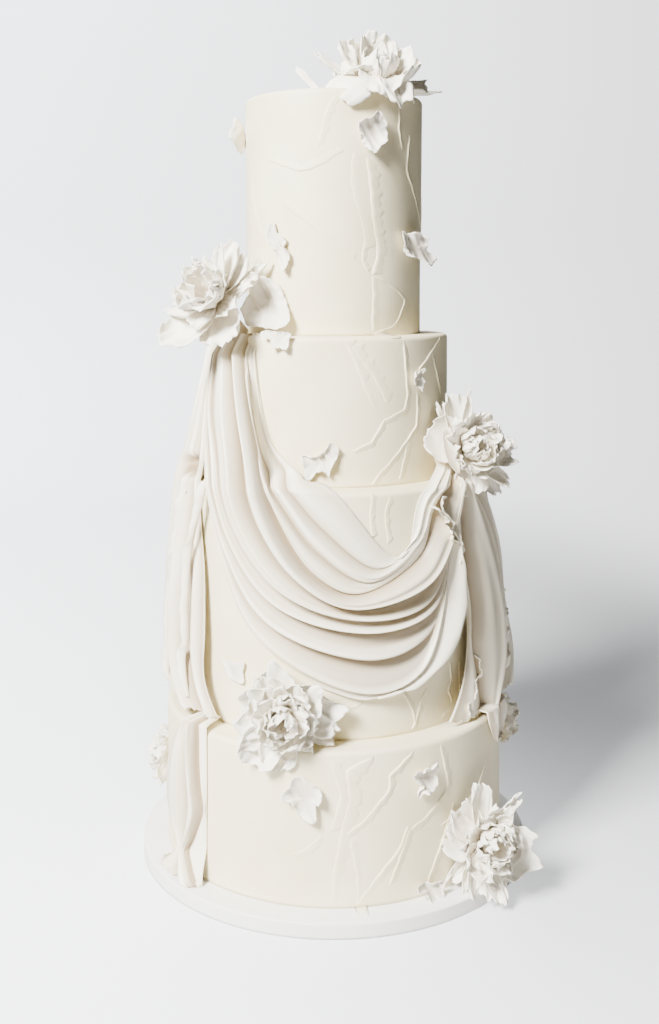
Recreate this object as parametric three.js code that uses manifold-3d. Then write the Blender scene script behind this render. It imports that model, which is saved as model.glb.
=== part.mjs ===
// A four-tier wedding cake on its round drum, dressed with sugar drapes, peonies and loose petals.
// Millimetres, +Z up. The origin is the centre of the drum's underside, and the front of the cake is -Y.
// An angle named phi is in degrees round the cake: 0 is the front, +90 the right side, -90 the left.

import * as THREE from 'three';
import { mergeVertices } from 'three/addons/utils/BufferGeometryUtils.js';
import Module from 'manifold-3d';

const wasm = await Module();
wasm.setup();

// ---------------------------------------------------------------- driving dimensions

const DRUM = { radius: 178, height: 13, edgeRound: 1.5 };
const TIERS = [
  { name: 'tier_1', bottomRadius: 155, topRadius: 155, bottom: 13, top: 142.8 },
  { name: 'tier_2', bottomRadius: 131, topRadius: 131, bottom: 142.8, top: 349.5 },
  { name: 'tier_3', bottomRadius: 104.7, topRadius: 104.7, bottom: 349.5, top: 476.9 },
  { name: 'tier_4', bottomRadius: 79.4, topRadius: 81, bottom: 476.9, top: 688.6 },
];
const RIM_ROUND = 4;          // rounding of each tier's top edge
const ROUND_SIDES = 60;       // flats round a tier
const CLEARANCE = 0.45;       // air between the cake and what is stuck on it
const DRAPE_ROOT = 96;        // radius inside the cake where the raw drape solids end
const PETAL_THICKNESS = 1.5;  // at the middle of a sugar petal
const PETAL_EDGE = 0.8;       // at its torn edge
const MERGE_TOLERANCE = 0.02; // shortest edge that a joined solid keeps
const SAME_POINT = 1e-4;      // corners closer than this are one

// ---------------------------------------------------------------- finishes

const fondant = () => new THREE.MeshStandardMaterial({ color: 0xf1ecdd, roughness: 0.55, metalness: 0 });
const drapery = () => new THREE.MeshStandardMaterial({ color: 0xf3eee4, roughness: 0.42, metalness: 0 });
const sugar = () => new THREE.MeshStandardMaterial({ color: 0xf7f5ee, roughness: 0.62, metalness: 0 });
const board = () => new THREE.MeshStandardMaterial({ color: 0xe9e9e6, roughness: 0.5, metalness: 0 });

// ---------------------------------------------------------------- small helpers

const rad = THREE.MathUtils.degToRad;
const lerp = THREE.MathUtils.lerp;
const clamp = THREE.MathUtils.clamp;
const smooth = (x, low, high) => THREE.MathUtils.smoothstep(x, low, high);

// A point at phi degrees round the cake, radius r and height z.
const polar = (phi, r, z) => new THREE.Vector3(r * Math.sin(rad(phi)), -r * Math.cos(rad(phi)), z);

// A repeatable draw: the same seed gives the same numbers, each from 0 to 1.
function draws(seed) {
  let state = seed * 7919 + 17;
  return () => {
    state = (state * 16807) % 2147483647;
    return state / 2147483647;
  };
}

// A value that runs through evenly spaced stations on a smooth curve.
function through(stations, u) {
  const last = stations.length - 1;
  const place = clamp(u, 0, 1) * last;
  const k = Math.min(Math.floor(place), last - 1);
  const t = place - k;
  const a = stations[Math.max(k - 1, 0)];
  const b = stations[k];
  const c = stations[k + 1];
  const d = stations[Math.min(k + 2, last)];
  const slope = c - a;
  const bend = 2 * a - 5 * b + 4 * c - d;
  const twist = 3 * b - a - 3 * c + d;
  return b + (slope * t + bend * t ** 2 + twist * t ** 3) / 2;
}

function signedVolume(position, index) {
  const [a, b, c] = [new THREE.Vector3(), new THREE.Vector3(), new THREE.Vector3()];
  let sum = 0;
  for (let i = 0; i < index.length; i += 3) {
    a.fromArray(position, 3 * index[i]);
    b.fromArray(position, 3 * index[i + 1]);
    c.fromArray(position, 3 * index[i + 2]);
    sum += a.dot(b.cross(c));
  }
  return sum / 6;
}

// A geometry of shared corners whose faces point out.
function closedGeometry(position, index) {
  const faces = Array.from(index);
  if (signedVolume(position, faces) < 0) faces.reverse();
  const geometry = new THREE.BufferGeometry();
  geometry.setAttribute('position', new THREE.Float32BufferAttribute(position, 3));
  geometry.setIndex(faces);
  return geometry;
}

function toSolid(geometry) {
  const bare = geometry.clone();
  bare.deleteAttribute('normal');
  bare.deleteAttribute('uv');
  const merged = mergeVertices(bare, SAME_POINT);
  const closed = closedGeometry(merged.attributes.position.array, merged.index.array);
  const mesh = new wasm.Mesh({
    numProp: 3,
    vertProperties: closed.attributes.position.array,
    triVerts: Uint32Array.from(closed.index.array),
    tolerance: MERGE_TOLERANCE,
  });
  mesh.merge();
  return new wasm.Manifold(mesh);
}

// The largest piece of a joined or cut solid, without loose scraps or sealed hollows.
function toGeometry(solid) {
  const pieces = solid.decompose();
  const largest = pieces.reduce((best, piece) => (piece.volume() > best.volume() ? piece : best));
  const mesh = largest.getMesh();
  return closedGeometry(Float32Array.from(mesh.vertProperties), mesh.triVerts);
}

// ---------------------------------------------------------------- drum and tiers

// The outline of one tier: a bottom edge, a straight side and a rounded top edge.
function tierProfile(tier, grow = 0) {
  const top = tier.topRadius + grow;
  const height = tier.top + grow;
  const corner = [0, 45, 90].map((turn) => new THREE.Vector2(
    top - RIM_ROUND * (1 - Math.cos(rad(turn))),
    height - RIM_ROUND * (1 - Math.sin(rad(turn))),
  ));
  const foot = new THREE.Vector2(tier.bottomRadius + grow, tier.bottom);
  return [new THREE.Vector2(0, tier.bottom), foot, ...corner, new THREE.Vector2(0, height)];
}

function turned(profile) {
  const lathe = new THREE.LatheGeometry(profile, ROUND_SIDES);
  lathe.rotateX(Math.PI / 2);
  lathe.deleteAttribute('normal');
  lathe.deleteAttribute('uv');
  const merged = mergeVertices(lathe, SAME_POINT);
  const used = [];
  const corners = merged.index.array;
  for (let i = 0; i < corners.length; i += 3) {
    const [a, b, c] = [corners[i], corners[i + 1], corners[i + 2]];
    if (a !== b && b !== c && a !== c) used.push(a, b, c);
  }
  return closedGeometry(merged.attributes.position.array, used);
}

const drumGeometry = turned([
  new THREE.Vector2(0, 0),
  new THREE.Vector2(DRUM.radius, 0),
  new THREE.Vector2(DRUM.radius, DRUM.height - DRUM.edgeRound),
  new THREE.Vector2(DRUM.radius - DRUM.edgeRound, DRUM.height),
  new THREE.Vector2(0, DRUM.height),
]);

// Everything that a sugar piece keeps clear of: the tiers and the drum, grown by the clearance.
const cakeEnvelope = TIERS.map((tier) => toSolid(turned(tierProfile(tier, CLEARANCE))))
  .concat(toSolid(turned([
    new THREE.Vector2(0, -DRUM.height),
    new THREE.Vector2(DRUM.radius + CLEARANCE, -DRUM.height),
    new THREE.Vector2(DRUM.radius + CLEARANCE, DRUM.height + CLEARANCE),
    new THREE.Vector2(0, DRUM.height + CLEARANCE),
  ])))
  .reduce((whole, solid) => whole.add(solid));

// The cake's own radius at a height.
function wallRadius(z) {
  const tier = TIERS.find((each) => z <= each.top) ?? TIERS[3];
  return lerp(tier.bottomRadius, tier.topRadius, (z - tier.bottom) / (tier.top - tier.bottom));
}

// ---------------------------------------------------------------- two-faced slabs

// A closed solid between two faces, each a function of u and v from 0 to 1, split alike.
function slab(alongCount, acrossCount, front, back) {
  const position = [];
  const index = [];
  const row = acrossCount + 1;
  const faceSize = (alongCount + 1) * row;
  for (const face of [front, back]) {
    for (let i = 0; i <= alongCount; i += 1) {
      for (let j = 0; j <= acrossCount; j += 1) {
        position.push(...face(i / alongCount, j / acrossCount).toArray());
      }
    }
  }
  const quad = (a, b, c, d) => index.push(a, b, c, a, c, d);
  for (let i = 0; i < alongCount; i += 1) {
    for (let j = 0; j < acrossCount; j += 1) {
      const a = i * row + j;
      quad(a, a + 1, a + row + 1, a + row);
      quad(a + faceSize, a + faceSize + row, a + faceSize + row + 1, a + faceSize + 1);
    }
  }
  for (let i = 0; i < alongCount; i += 1) {
    const left = i * row;
    const right = left + acrossCount;
    quad(left, left + row, left + row + faceSize, left + faceSize);
    quad(right, right + faceSize, right + row + faceSize, right + row);
  }
  for (let j = 0; j < acrossCount; j += 1) {
    const near = j;
    const far = alongCount * row + j;
    quad(near, near + faceSize, near + faceSize + 1, near + 1);
    quad(far, far + 1, far + 1 + faceSize, far + faceSize);
  }
  return closedGeometry(position, index);
}

// ---------------------------------------------------------------- drapes

// A drape is a sheet of fondant whose folds follow valley lines. Each valley line has evenly spaced
// stations from the gather downwards, as angles phi and heights z, and a lift off the cake. Between two
// valleys the sheet rises to a rounded crest; crest gives its height at stations along the fold, and
// lean moves it towards the first valley (under 1) or the second (over 1). hem is the depth of the
// scallops at the lower end. grow makes a larger copy, to cut a neighbour clear of the drape.
function drape({ valleys, folds, reach, alongCount, samples, hem = 0 }, grow = 0) {
  const surface = (u, v) => {
    const place = v * folds.length;
    const k = Math.min(Math.floor(place), folds.length - 1);
    const t = place - k;
    const [near, far] = [valleys[k], valleys[k + 1]];
    const phi = lerp(through(near.phi, u), through(far.phi, u), t);
    const scallop = hem * Math.sin(Math.PI * (2 * place + 0.3)) * smooth(u, 0.8, 1);
    const z = lerp(through(near.z, u), through(far.z, u), t) + scallop;
    const lift = lerp(through(near.lift, u), through(far.lift, u), t);
    const crest = Math.max(through(folds[k].crest, u), 0);
    const rise = Math.sin(Math.PI * t ** folds[k].lean) ** 0.75;
    return { phi, z, r: reach(z, u, v) + lift + crest * rise + grow };
  };
  const front = (u, v) => {
    const { phi, z, r } = surface(u, v);
    return polar(phi, r, z);
  };
  const back = (u, v) => {
    const { phi, z } = surface(u, v);
    return polar(phi, DRAPE_ROOT, z);
  };
  const raw = toSolid(slab(alongCount, folds.length * samples, front, back));
  if (grow === 0) return raw.subtract(cakeEnvelope);
  const turn = THREE.MathUtils.radToDeg(grow / DRAPE_ROOT);
  const wider = raw.rotate([0, 0, turn]).add(raw.rotate([0, 0, -turn]));
  return wider.translate(0, 0, grow).add(wider.translate(0, 0, -grow)).subtract(cakeEnvelope);
}

// How far out a sheet is carried at a height: taut from one rim to the next, or lying on the cake.
const [TIER_1, TIER_2, TIER_3] = TIERS;
function taut(z) {
  const climb = clamp((z - TIER_2.top) / (TIER_3.top - TIER_2.top), 0, 1);
  return lerp(TIER_2.topRadius, TIER_3.topRadius, climb);
}
const LYING_BEND = [1, 16];   // heights above the ledge between which a lying sheet reaches the wall
function lying(z) {
  const bend = smooth(z - TIER_2.top, ...LYING_BEND);
  return lerp(TIER_2.topRadius, TIER_3.topRadius, bend);
}
// A gather fills the corner between a ledge and the wall above it, as a slope.
const GATHER_SLOPE = 22;
function gathered(z) {
  return lerp(TIER_2.topRadius, TIER_3.topRadius, clamp((z - TIER_2.top) / GATHER_SLOPE, 0, 1));
}

// A fall swings clear of the wall below the rim that it hangs from.
const FALL_FLARE = 9;
const flare = (z) => FALL_FLARE * smooth(TIER_2.top - z, 0, TIER_2.top - TIER_1.top);

// A tail lies over the rim of the lowest tier, hangs beside its wall and spreads on the drum.
const TAIL_SPREAD = 8;
const TAIL_SPREAD_TOP = 45;
const hanging = (z) => TIER_1.topRadius + TAIL_SPREAD * (1 - smooth(z, DRUM.height, TAIL_SPREAD_TOP));

// The swag's upper edge lies on the cake and its bunches are taut. Its right end is gathered.
const SWAG = {
  reach: (z, u, v) => {
    const left = lerp(lying(z), taut(z), smooth(v, 0.1, 0.3));
    return lerp(left, gathered(z), smooth(u, 0.6, 0.9));
  },
  alongCount: 18,
  samples: 3,
  valleys: [
    {
      phi: [-40, -34, -27.2, -12.5, 0, 19, 28, 33.5, 53],
      z: [474, 424, 388, 359.5, 352, 300, 302, 345, 366],
      lift: [3, 2, 1, 2, 2],
    },
    {
      phi: [-42, -34.5, -27.7, -15, -4, 15, 29.5, 36, 54],
      z: [474, 422, 384, 350, 320, 287, 307, 345, 364],
      lift: [2, 1, 1, 4, 6],
    },
    {
      phi: [-44, -35, -28.2, -18, -5.5, 12.5, 31, 38, 54.5],
      z: [474, 421, 382.5, 338, 300, 276, 303, 341, 362],
      lift: [2, 1, 2, 5, 7],
    },
    {
      phi: [-46, -35.8, -28.8, -19.8, -7, 10, 33, 40, 53],
      z: [474, 420, 382, 328, 283, 267, 295, 335, 358],
      lift: [3, 2, 3, 2, 1],
    },
    {
      phi: [-51, -43.5, -36.5, -28.5, -13, 6, 31, 44.2, 52],
      z: [473, 421, 380, 326, 280, 257, 270, 302, 354],
      lift: [3, 2, 2, 1, 3],
    },
    {
      phi: [-62, -57, -47, -36.5, -17.5, 8, 32, 44, 51.7],
      z: [472, 420, 378, 318, 269, 248, 253, 286, 350],
      lift: [7, 7, 4, 2, 3],
    },
    {
      phi: [-66, -60, -51, -39.5, -20.5, 9, 33, 43.5, 51.2],
      z: [471, 418, 370, 305, 256, 236, 244, 272, 344],
      lift: [7, 7, 4, 2, 3],
    },
    {
      phi: [-69.5, -62.5, -54, -42, -24, 8, 30, 42, 51],
      z: [470, 417, 362, 294, 240, 214, 222, 252, 336],
      lift: [3, 3, 2, 1, 3],
    },
    {
      phi: [-73.5, -64, -55.5, -44, -27.5, 8, 30.5, 41.3, 50.5],
      z: [468.5, 415.5, 353, 281.5, 226, 186, 198, 255, 318],
      lift: [3, 2, 2, 3, 4, 8, 6],
    },
    {
      phi: [-75, -65, -56, -44.5, -28, 9, 38, 48.5, 50.5],
      z: [468, 415, 352, 280, 224, 179, 198, 245, 306],
      lift: [2, 2, 2, 2, 2, 12, 20, 14],
    },
  ],
  folds: [
    { crest: [1, 0.6, 1, 1, 0.5], lean: 1 },
    { crest: [1, 0.5, 3, 2, 0.5], lean: 1 },
    { crest: [0.5, 3, 7, 6, 1], lean: 1 },
    { crest: [10, 16, 17, 15, 8], lean: 1.2 },
    { crest: [10, 15, 14, 9, 3], lean: 1.4 },
    { crest: [5, 7, 8, 9, 3], lean: 1.4 },
    { crest: [5, 7, 7, 8, 2], lean: 1.4 },
    { crest: [4, 5, 6, 6, 1], lean: 1.4 },
    { crest: [3, 2, 1, 1, 1], lean: 1 },
  ],
};

const LEFT_FALL_Z = [474, 430, 394, 374, 357, 322, 272, 222, 182, 151];
const LEFT_FALL = {
  reach: (z) => taut(z) + flare(z),
  alongCount: 12,
  samples: 4,
  hem: 2,
  valleys: [
    { phi: [-77, -70, -64.5, -61.5, -62, -61.5, -56, -53.5, -52.5, -44], z: LEFT_FALL_Z, lift: [2, 2, 3] },
    { phi: [-79, -73, -68, -66, -66, -64.5, -63.5, -66, -60, -51], z: LEFT_FALL_Z, lift: [1, 1, 2, 2, 3] },
    { phi: [-83, -80, -76, -74, -72, -70, -74, -76, -78, -66], z: LEFT_FALL_Z, lift: [2, 2, 3, 4, 3] },
    { phi: [-89, -88, -89, -89, -90, -92, -94, -95, -94, -92], z: LEFT_FALL_Z, lift: [3, 3, 4, 4] },
    { phi: [-97, -98, -101, -103, -105, -108, -112, -115, -115, -113], z: LEFT_FALL_Z, lift: [2, 2, 2] },
  ],
  folds: [
    { crest: [3, 4, 3, 3, 4, 4, 4], lean: 1 },
    { crest: [5, 6, 8, 10, 14, 14, 9], lean: 1.2 },
    { crest: [6, 7, 9, 12, 16, 16, 11], lean: 1 },
    { crest: [4, 5, 6, 9, 11, 12, 7], lean: 1.2 },
  ],
};

const RIGHT_FALL = {
  reach: (z) => gathered(z) + flare(z),
  alongCount: 11,
  samples: 4,
  hem: 3,
  valleys: [
    {
      phi: [58, 54.5, 53, 53.5, 55.5, 56.7, 56, 52, 43],
      z: [362, 350, 335, 300, 266, 242, 212, 180, 152],
      lift: [2, 2, 2, 4],
    },
    {
      phi: [60, 56.5, 55, 55.5, 57, 58, 56.8, 59.5, 62],
      z: [362, 350, 335, 302, 268, 242, 212, 184, 152],
      lift: [2, 2, 2, 3, 5],
    },
    {
      phi: [64, 62, 64, 72, 77, 79, 80, 77, 68],
      z: [362, 350, 334, 309, 277, 240, 206, 176, 154],
      lift: [2, 5, 9, 12, 12, 12, 10],
    },
    {
      phi: [70, 72, 76, 84, 92, 97, 99, 97, 90],
      z: [362, 350, 330, 300, 268, 236, 206, 184, 166],
      lift: [3, 5, 8, 11, 13, 14, 19, 23, 22],
    },
    {
      phi: [78, 80, 84, 93, 101, 106, 108, 107, 104],
      z: [362, 350, 322, 292, 262, 232, 212, 200, 192],
      lift: [2, 2, 2],
    },
  ],
  folds: [
    { crest: [1, 1, 1, 2, 3, 3, 5], lean: 1 },
    { crest: [3, 6, 10, 14, 16, 14, 10], lean: 0.9 },
    { crest: [3, 4, 6, 9, 11, 12, 10], lean: 1 },
    { crest: [3, 5, 7, 9, 10, 8], lean: 1.1 },
  ],
};

const LEFT_TAIL_Z = [147.6, 146, 138, 118, 96, 74, 50, 36, 24, 14];
const LEFT_TAIL = {
  reach: hanging,
  alongCount: 9,
  samples: 3,
  valleys: [
    {
      phi: [-43.5, -43.5, -43.5, -43.5, -43.5, -43.6, -43.8, -43.8, -43.2, -42.5],
      z: LEFT_TAIL_Z,
      lift: [1.5, 1.5],
    },
    {
      phi: [-47, -47, -46.5, -46.2, -45.3, -44.6, -48.3, -51, -47, -43.8],
      z: LEFT_TAIL_Z,
      lift: [2, 3, 4, 3, 4],
    },
    {
      phi: [-51, -51, -51, -51.5, -51.5, -51.5, -52.5, -53.5, -52.5, -51],
      z: LEFT_TAIL_Z,
      lift: [2, 3, 4, 4],
    },
    {
      phi: [-54, -55, -58, -64, -68, -69.5, -66, -57.5, -60, -66],
      z: LEFT_TAIL_Z,
      lift: [2, 3, 3, 2],
    },
  ],
  folds: [
    { crest: [2, 1, 0.5, 0.5, 0.5, 0.5], lean: 1 },
    { crest: [5, 8, 9, 8, 6, 8], lean: 1.6 },
    { crest: [4, 5, 6, 5, 4, 7], lean: 0.8 },
  ],
};

const RIGHT_TAIL_Z = [147.6, 146, 138, 128, 119];
const RIGHT_TAIL = {
  reach: hanging,
  alongCount: 4,
  samples: 2,
  valleys: [
    { phi: [58, 58, 59, 61, 63], z: RIGHT_TAIL_Z, lift: [2, 3, 4] },
    { phi: [67, 67, 66, 66, 65], z: RIGHT_TAIL_Z, lift: [3, 3, 3] },
    { phi: [76, 77, 78, 76, 68], z: [147.6, 146, 142, 134, 122], lift: [2, 3, 4] },
  ],
  folds: [
    { crest: [4, 5, 3], lean: 1 },
    { crest: [4, 5, 3], lean: 1 },
  ],
};

const DRAPES = {
  drape_swag: SWAG,
  drape_left_fall: LEFT_FALL,
  drape_left_tail: LEFT_TAIL,
  drape_right_fall: RIGHT_FALL,
  drape_right_tail: RIGHT_TAIL,
};
const DRAPE_GAP = 0.8;        // air between a drape and a flower or petal
const drapeEnvelope = Object.values(DRAPES)
  .map((spec) => drape(spec, DRAPE_GAP))
  .reduce((whole, solid) => whole.add(solid));

// ---------------------------------------------------------------- petals

// Half the width of a petal at s from its base (0) to its tip (1): narrow, then broad, then blunt.
const BROADEST = 0.68;        // where along a petal it is broadest
const NECK = 0.14;            // width at its base, as a share of the broadest
const BLUNTNESS = 0.48;       // how far past the broadest place it would close to a point
function halfWidth(width, s) {
  const opening = lerp(NECK, 1, Math.sin((Math.PI / 2) * Math.min(1, s / BROADEST)));
  const closing = Math.sqrt(1 - (Math.max(0, s - BROADEST) / BLUNTNESS) ** 2);
  return (width / 2) * opening * closing;
}

// The torn outline: how far along a petal the line at t across it has got.
const tornLength = (s, t, wave) => s * (1 - 0.14 * t * t + 0.08 * Math.sin(5 * t + wave));

// Both faces of a petal, from a function that gives a point and the way its back faces.
function petalSlab(alongCount, acrossCount, place) {
  const front = (u, v) => place(u, 2 * v - 1).point;
  const back = (u, v) => {
    const { point, outward } = place(u, 2 * v - 1);
    const thickness = lerp(PETAL_THICKNESS, PETAL_EDGE, Math.max(u ** 2, (2 * v - 1) ** 2));
    return point.clone().addScaledVector(outward, thickness);
  };
  return slab(alongCount, acrossCount, front, back);
}

// A petal that runs from its flower's heart to its tip. It is cupped across, towards the way the flower
// looks, and bowed along, away from it.
function flowerPetal({ tip, width, look, bow, wave }) {
  const length = tip.length();
  const along = tip.clone().normalize();
  const face = look.clone().addScaledVector(along, -look.dot(along)).normalize();
  const side = face.clone().cross(along);
  const outward = face.clone().negate();
  return (s, t) => {
    const half = halfWidth(width, s);
    const cupped = half * (1 - Math.cos(PETAL_CUP * t)) / PETAL_CUP;
    const arched = 4 * bow * length * s * (1 - s);
    const wavy = RUFFLE * s * Math.abs(t) * Math.sin(7 * t + 5 * s + wave);
    const point = along.clone().multiplyScalar(length * tornLength(s, t, wave))
      .addScaledVector(side, half * Math.sin(PETAL_CUP * t) / PETAL_CUP)
      .addScaledVector(face, cupped - arched + wavy);
    return { point, outward };
  };
}

// ---------------------------------------------------------------- flowers

const RUFFLE = 2.5;           // depth of the waves along a flower petal's edge
const PETAL_BOW = 0.1;        // how far a petal bows, as a share of its length
const PETAL_CUP = 0.6;        // how far its edges curl, in radians
const HEART_RADIUS = 13;
const STALK_RADII = [6, 10];  // of the knob that carries a flower, at the heart and at its foot

// A flower has a heart and a foot on the cake, a turn round the upright, and a look, which is the way
// it faces. The look and the petals are in the flower's own frame: to its right, up and out. An outer
// petal is its tip from the heart and its width, with a bow where that differs. A flower that lists no
// petals has a ring of them.
const FLOWERS = [
  {
    name: 'flower_top',
    heart: [35, -52, 696],
    foot: [33, -46, 688],
    turn: 0,
    look: [0.15, 0.85, 0.5],
    seed: 3,
    petals: [
      [-50, 28, 5, 18], [-27, 37, 4, 32], [-4, 44, 6, 32], [12, 43, 0, 26], [34, 31, 4, 38],
      [45, 6, 10, 32], [56, -4, -2, 26],
      [26, -22, 28, 32, -0.2], [-33, -12, 28, 46, -0.2], [6, -13, 34, 42, -0.2],
    ],
  },
  {
    name: 'flower_left',
    heart: [-103, -74, 508],
    foot: [-84, -60, 476],
    turn: 0,
    look: [-0.45, 0.55, 0.7],
    seed: 5,
    petals: [
      [4, 47, 2, 14], [15, 54, -6, 32], [27, 41, 4, 22], [44, 35, -8, 13], [36, 20, 10, 22],
      [-22, 30, 14, 30], [10, 14, 28, 30], [-37, -2, 12, 38], [-38, -43, 12, 46], [15, -40, 20, 48],
    ],
  },
  {
    name: 'flower_right',
    heart: [117, -66, 376],
    foot: [94, -53, 366],
    turn: 0,
    look: [0.35, 0.25, 0.9],
    seed: 8,
    petals: [
      [-37, 17, 10, 48], [-14, 52, -4, 30], [0, 26, 26, 28], [22, 32, 4, 30], [35, 13, 8, 38],
      [44, -4, 0, 28], [14, -8, 32, 30], [38, -30, 8, 16], [4, -39, 10, 34], [33, -43, -16, 18],
    ],
  },
  {
    name: 'flower_front',
    heart: [-40, -145, 167],
    foot: [-34, -122, 160],
    turn: 0,
    look: [-0.05, 0.1, 1],
    seed: 11,
    petals: [
      [-13, 45, 2, 34], [9, 30, 12, 34], [28, 27, 4, 36], [49, 4, 2, 38], [41, -16, 6, 28],
      [-40, 8, 4, 44], [-32, -36, 8, 42], [-8, -42, 10, 34], [0, -8, 33, 40],
    ],
  },
  {
    name: 'flower_base_right',
    heart: [127, -120, 49],
    foot: [110, -104, 45],
    turn: 0,
    look: [0.35, 0.25, 0.9],
    seed: 14,
    petals: [
      [-3, 54, 0, 24], [33, 41, -6, 15], [14, 24, 26, 28], [-24, 34, 4, 32], [-36, 12, 7, 38],
      [31, 12, 4, 44], [47, -13, 0, 46], [27, -32, 4, 32], [-17, -36, 12, 22], [2, -22, 28, 30],
    ],
  },
  {
    name: 'flower_back_left',
    heart: [-158, 34, 66],
    foot: [-145, 33, 64],
    turn: -102,
    look: [0, 0.1, 1],
    seed: 17,
  },
  {
    name: 'flower_back_right',
    heart: [158, 34, 102],
    foot: [145, 33, 100],
    turn: 102,
    look: [0, 0.1, 1],
    seed: 21,
  },
];
const RING = { count: 5, radius: 26, depth: 9, width: 38 };

// Petals whose tips stand round the look, at a radius from it and a depth along it.
function ringPetals({ count, radius, depth, width }, look, draw) {
  const vary = (value) => value * (0.85 + 0.3 * draw());
  const across = look.clone().cross(new THREE.Vector3(0.3, 1, 0.2)).normalize();
  const upward = across.clone().cross(look);
  const start = 360 * draw();
  return Array.from({ length: count }, (_, i) => {
    const turn = rad(start + (360 * (i + 0.5 * (draw() - 0.5))) / count);
    const ray = across.clone().multiplyScalar(Math.cos(turn)).addScaledVector(upward, Math.sin(turn));
    const tip = look.clone().multiplyScalar(vary(depth)).addScaledVector(ray, vary(radius));
    return { tip, width: vary(width), bow: PETAL_BOW };
  });
}

// The knob of icing between a flower's foot and its heart.
function stalk(foot, heart) {
  const way = heart.clone().sub(foot);
  const cone = new THREE.CylinderGeometry(...STALK_RADII, way.length(), 6);
  cone.applyQuaternion(new THREE.Quaternion().setFromUnitVectors(
    new THREE.Vector3(0, 1, 0),
    way.clone().normalize(),
  ));
  cone.translate(...foot.clone().add(heart).multiplyScalar(0.5).toArray());
  return toSolid(cone);
}

function flower({ heart, foot, turn, look, seed, petals }) {
  const draw = draws(seed);
  const facing = new THREE.Vector3(...look).normalize();
  const listed = petals?.map(([right, up, out, width, bow = PETAL_BOW]) => (
    { tip: new THREE.Vector3(right, up, out), width, bow }
  ));
  const bloomPetals = listed ?? ringPetals(RING, facing, draw);
  const solids = bloomPetals.map((petal) => (
    toSolid(petalSlab(2, 2, flowerPetal({ ...petal, look: facing, wave: 6.3 * draw() })))
  ));
  solids.push(toSolid(new THREE.SphereGeometry(HEART_RADIUS, 8, 5)));
  const pose = new THREE.Matrix4().makeBasis(
    new THREE.Vector3(Math.cos(rad(turn)), Math.sin(rad(turn)), 0),
    new THREE.Vector3(0, 0, 1),
    polar(turn, 1, 0),
  ).setPosition(...heart);
  const bloom = solids.reduce((sum, solid) => sum.add(solid)).transform(pose.elements);
  const whole = bloom.add(stalk(new THREE.Vector3(...foot), new THREE.Vector3(...heart)));
  return whole.subtract(cakeEnvelope).subtract(drapeEnvelope);
}

// ---------------------------------------------------------------- loose petals

// Each lies on the cake at an angle and height, turned by roll from tip up (towards +phi), with its
// edges curling away. tip is how far its two ends lift off the wall. A petal that doesn't lie flat has a
// swing round the upright, a lean, which is how far it comes out for each millimetre up, and a distance
// away from the wall at its middle. One stands on the top, at a radius.
const LOOSE_PETALS = [
  { name: 'petal_top', phi: -31, z: 700, roll: 52, length: 34, width: 9, cup: 0.8, tip: 1, radius: 42 },
  { name: 'petal_tier_4_side', phi: -88, z: 657, roll: 15, length: 32, width: 22, cup: 1, tip: 6 },
  { name: 'petal_tier_4_middle', phi: 22.5, z: 650, roll: 12, length: 38, width: 30, cup: 1.2, tip: 5 },
  {
    name: 'petal_tier_4_right', phi: 57, z: 554, roll: 120, length: 42, width: 28, cup: 0.8, tip: 3,
    swing: -17, away: 2,
  },
  { name: 'petal_tier_4_torn', phi: -34.5, z: 553, roll: -18, length: 44, width: 22, cup: 0.8, tip: 3 },
  {
    name: 'petal_ledge_left', phi: -41, z: 504, roll: 150, length: 44, width: 44, cup: 0.9, tip: 5,
    lean: -0.25, away: 1.2,
  },
  {
    name: 'petal_tier_3_rim', phi: -25.5, z: 475, roll: 80, length: 28, width: 15, cup: 0.7, tip: 2,
    lean: -0.15, away: -1,
  },
  { name: 'petal_tier_3_right', phi: 42.5, z: 439, roll: 20, length: 19, width: 13, cup: 1, tip: 3 },
  { name: 'petal_tier_3_front', phi: -5.2, z: 377, roll: 38, length: 38, width: 28, cup: 1, tip: 4 },
  { name: 'petal_tier_2_flat', phi: -40, z: 193, roll: 80, length: 28, width: 20, cup: 0.3, tip: 0.6 },
  { name: 'petal_tier_1_front', phi: -8.8, z: 105, roll: -15, length: 38, width: 34, cup: 0.9, tip: 4 },
  { name: 'petal_tier_1_right', phi: 29, z: 114, roll: 35, length: 30, width: 26, cup: 1.1, tip: 5 },
  {
    name: 'petal_tier_1_foot', phi: 30.5, z: 20, roll: 80, length: 28, width: 15, cup: 0.8, tip: 2,
    lean: -0.4, away: 3,
  },
  { name: 'petal_tier_1_back', phi: 158, z: 96, roll: -15, length: 38, width: 34, cup: 1, tip: 4 },
  { name: 'petal_tier_2_back', phi: -160, z: 262, roll: 12, length: 38, width: 30, cup: 1, tip: 5 },
  { name: 'petal_tier_3_back', phi: 148, z: 415, roll: 38, length: 38, width: 28, cup: 1, tip: 4 },
  { name: 'petal_tier_4_back', phi: -170, z: 600, roll: 35, length: 38, width: 32, cup: 1, tip: 4 },
];
const PETAL_STANDOFF = 0.1;   // a dab of icing between a petal and the wall
const LOOSE_RUFFLE = 0.03;    // depth of the waves along its edge, as a share of its length

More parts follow.
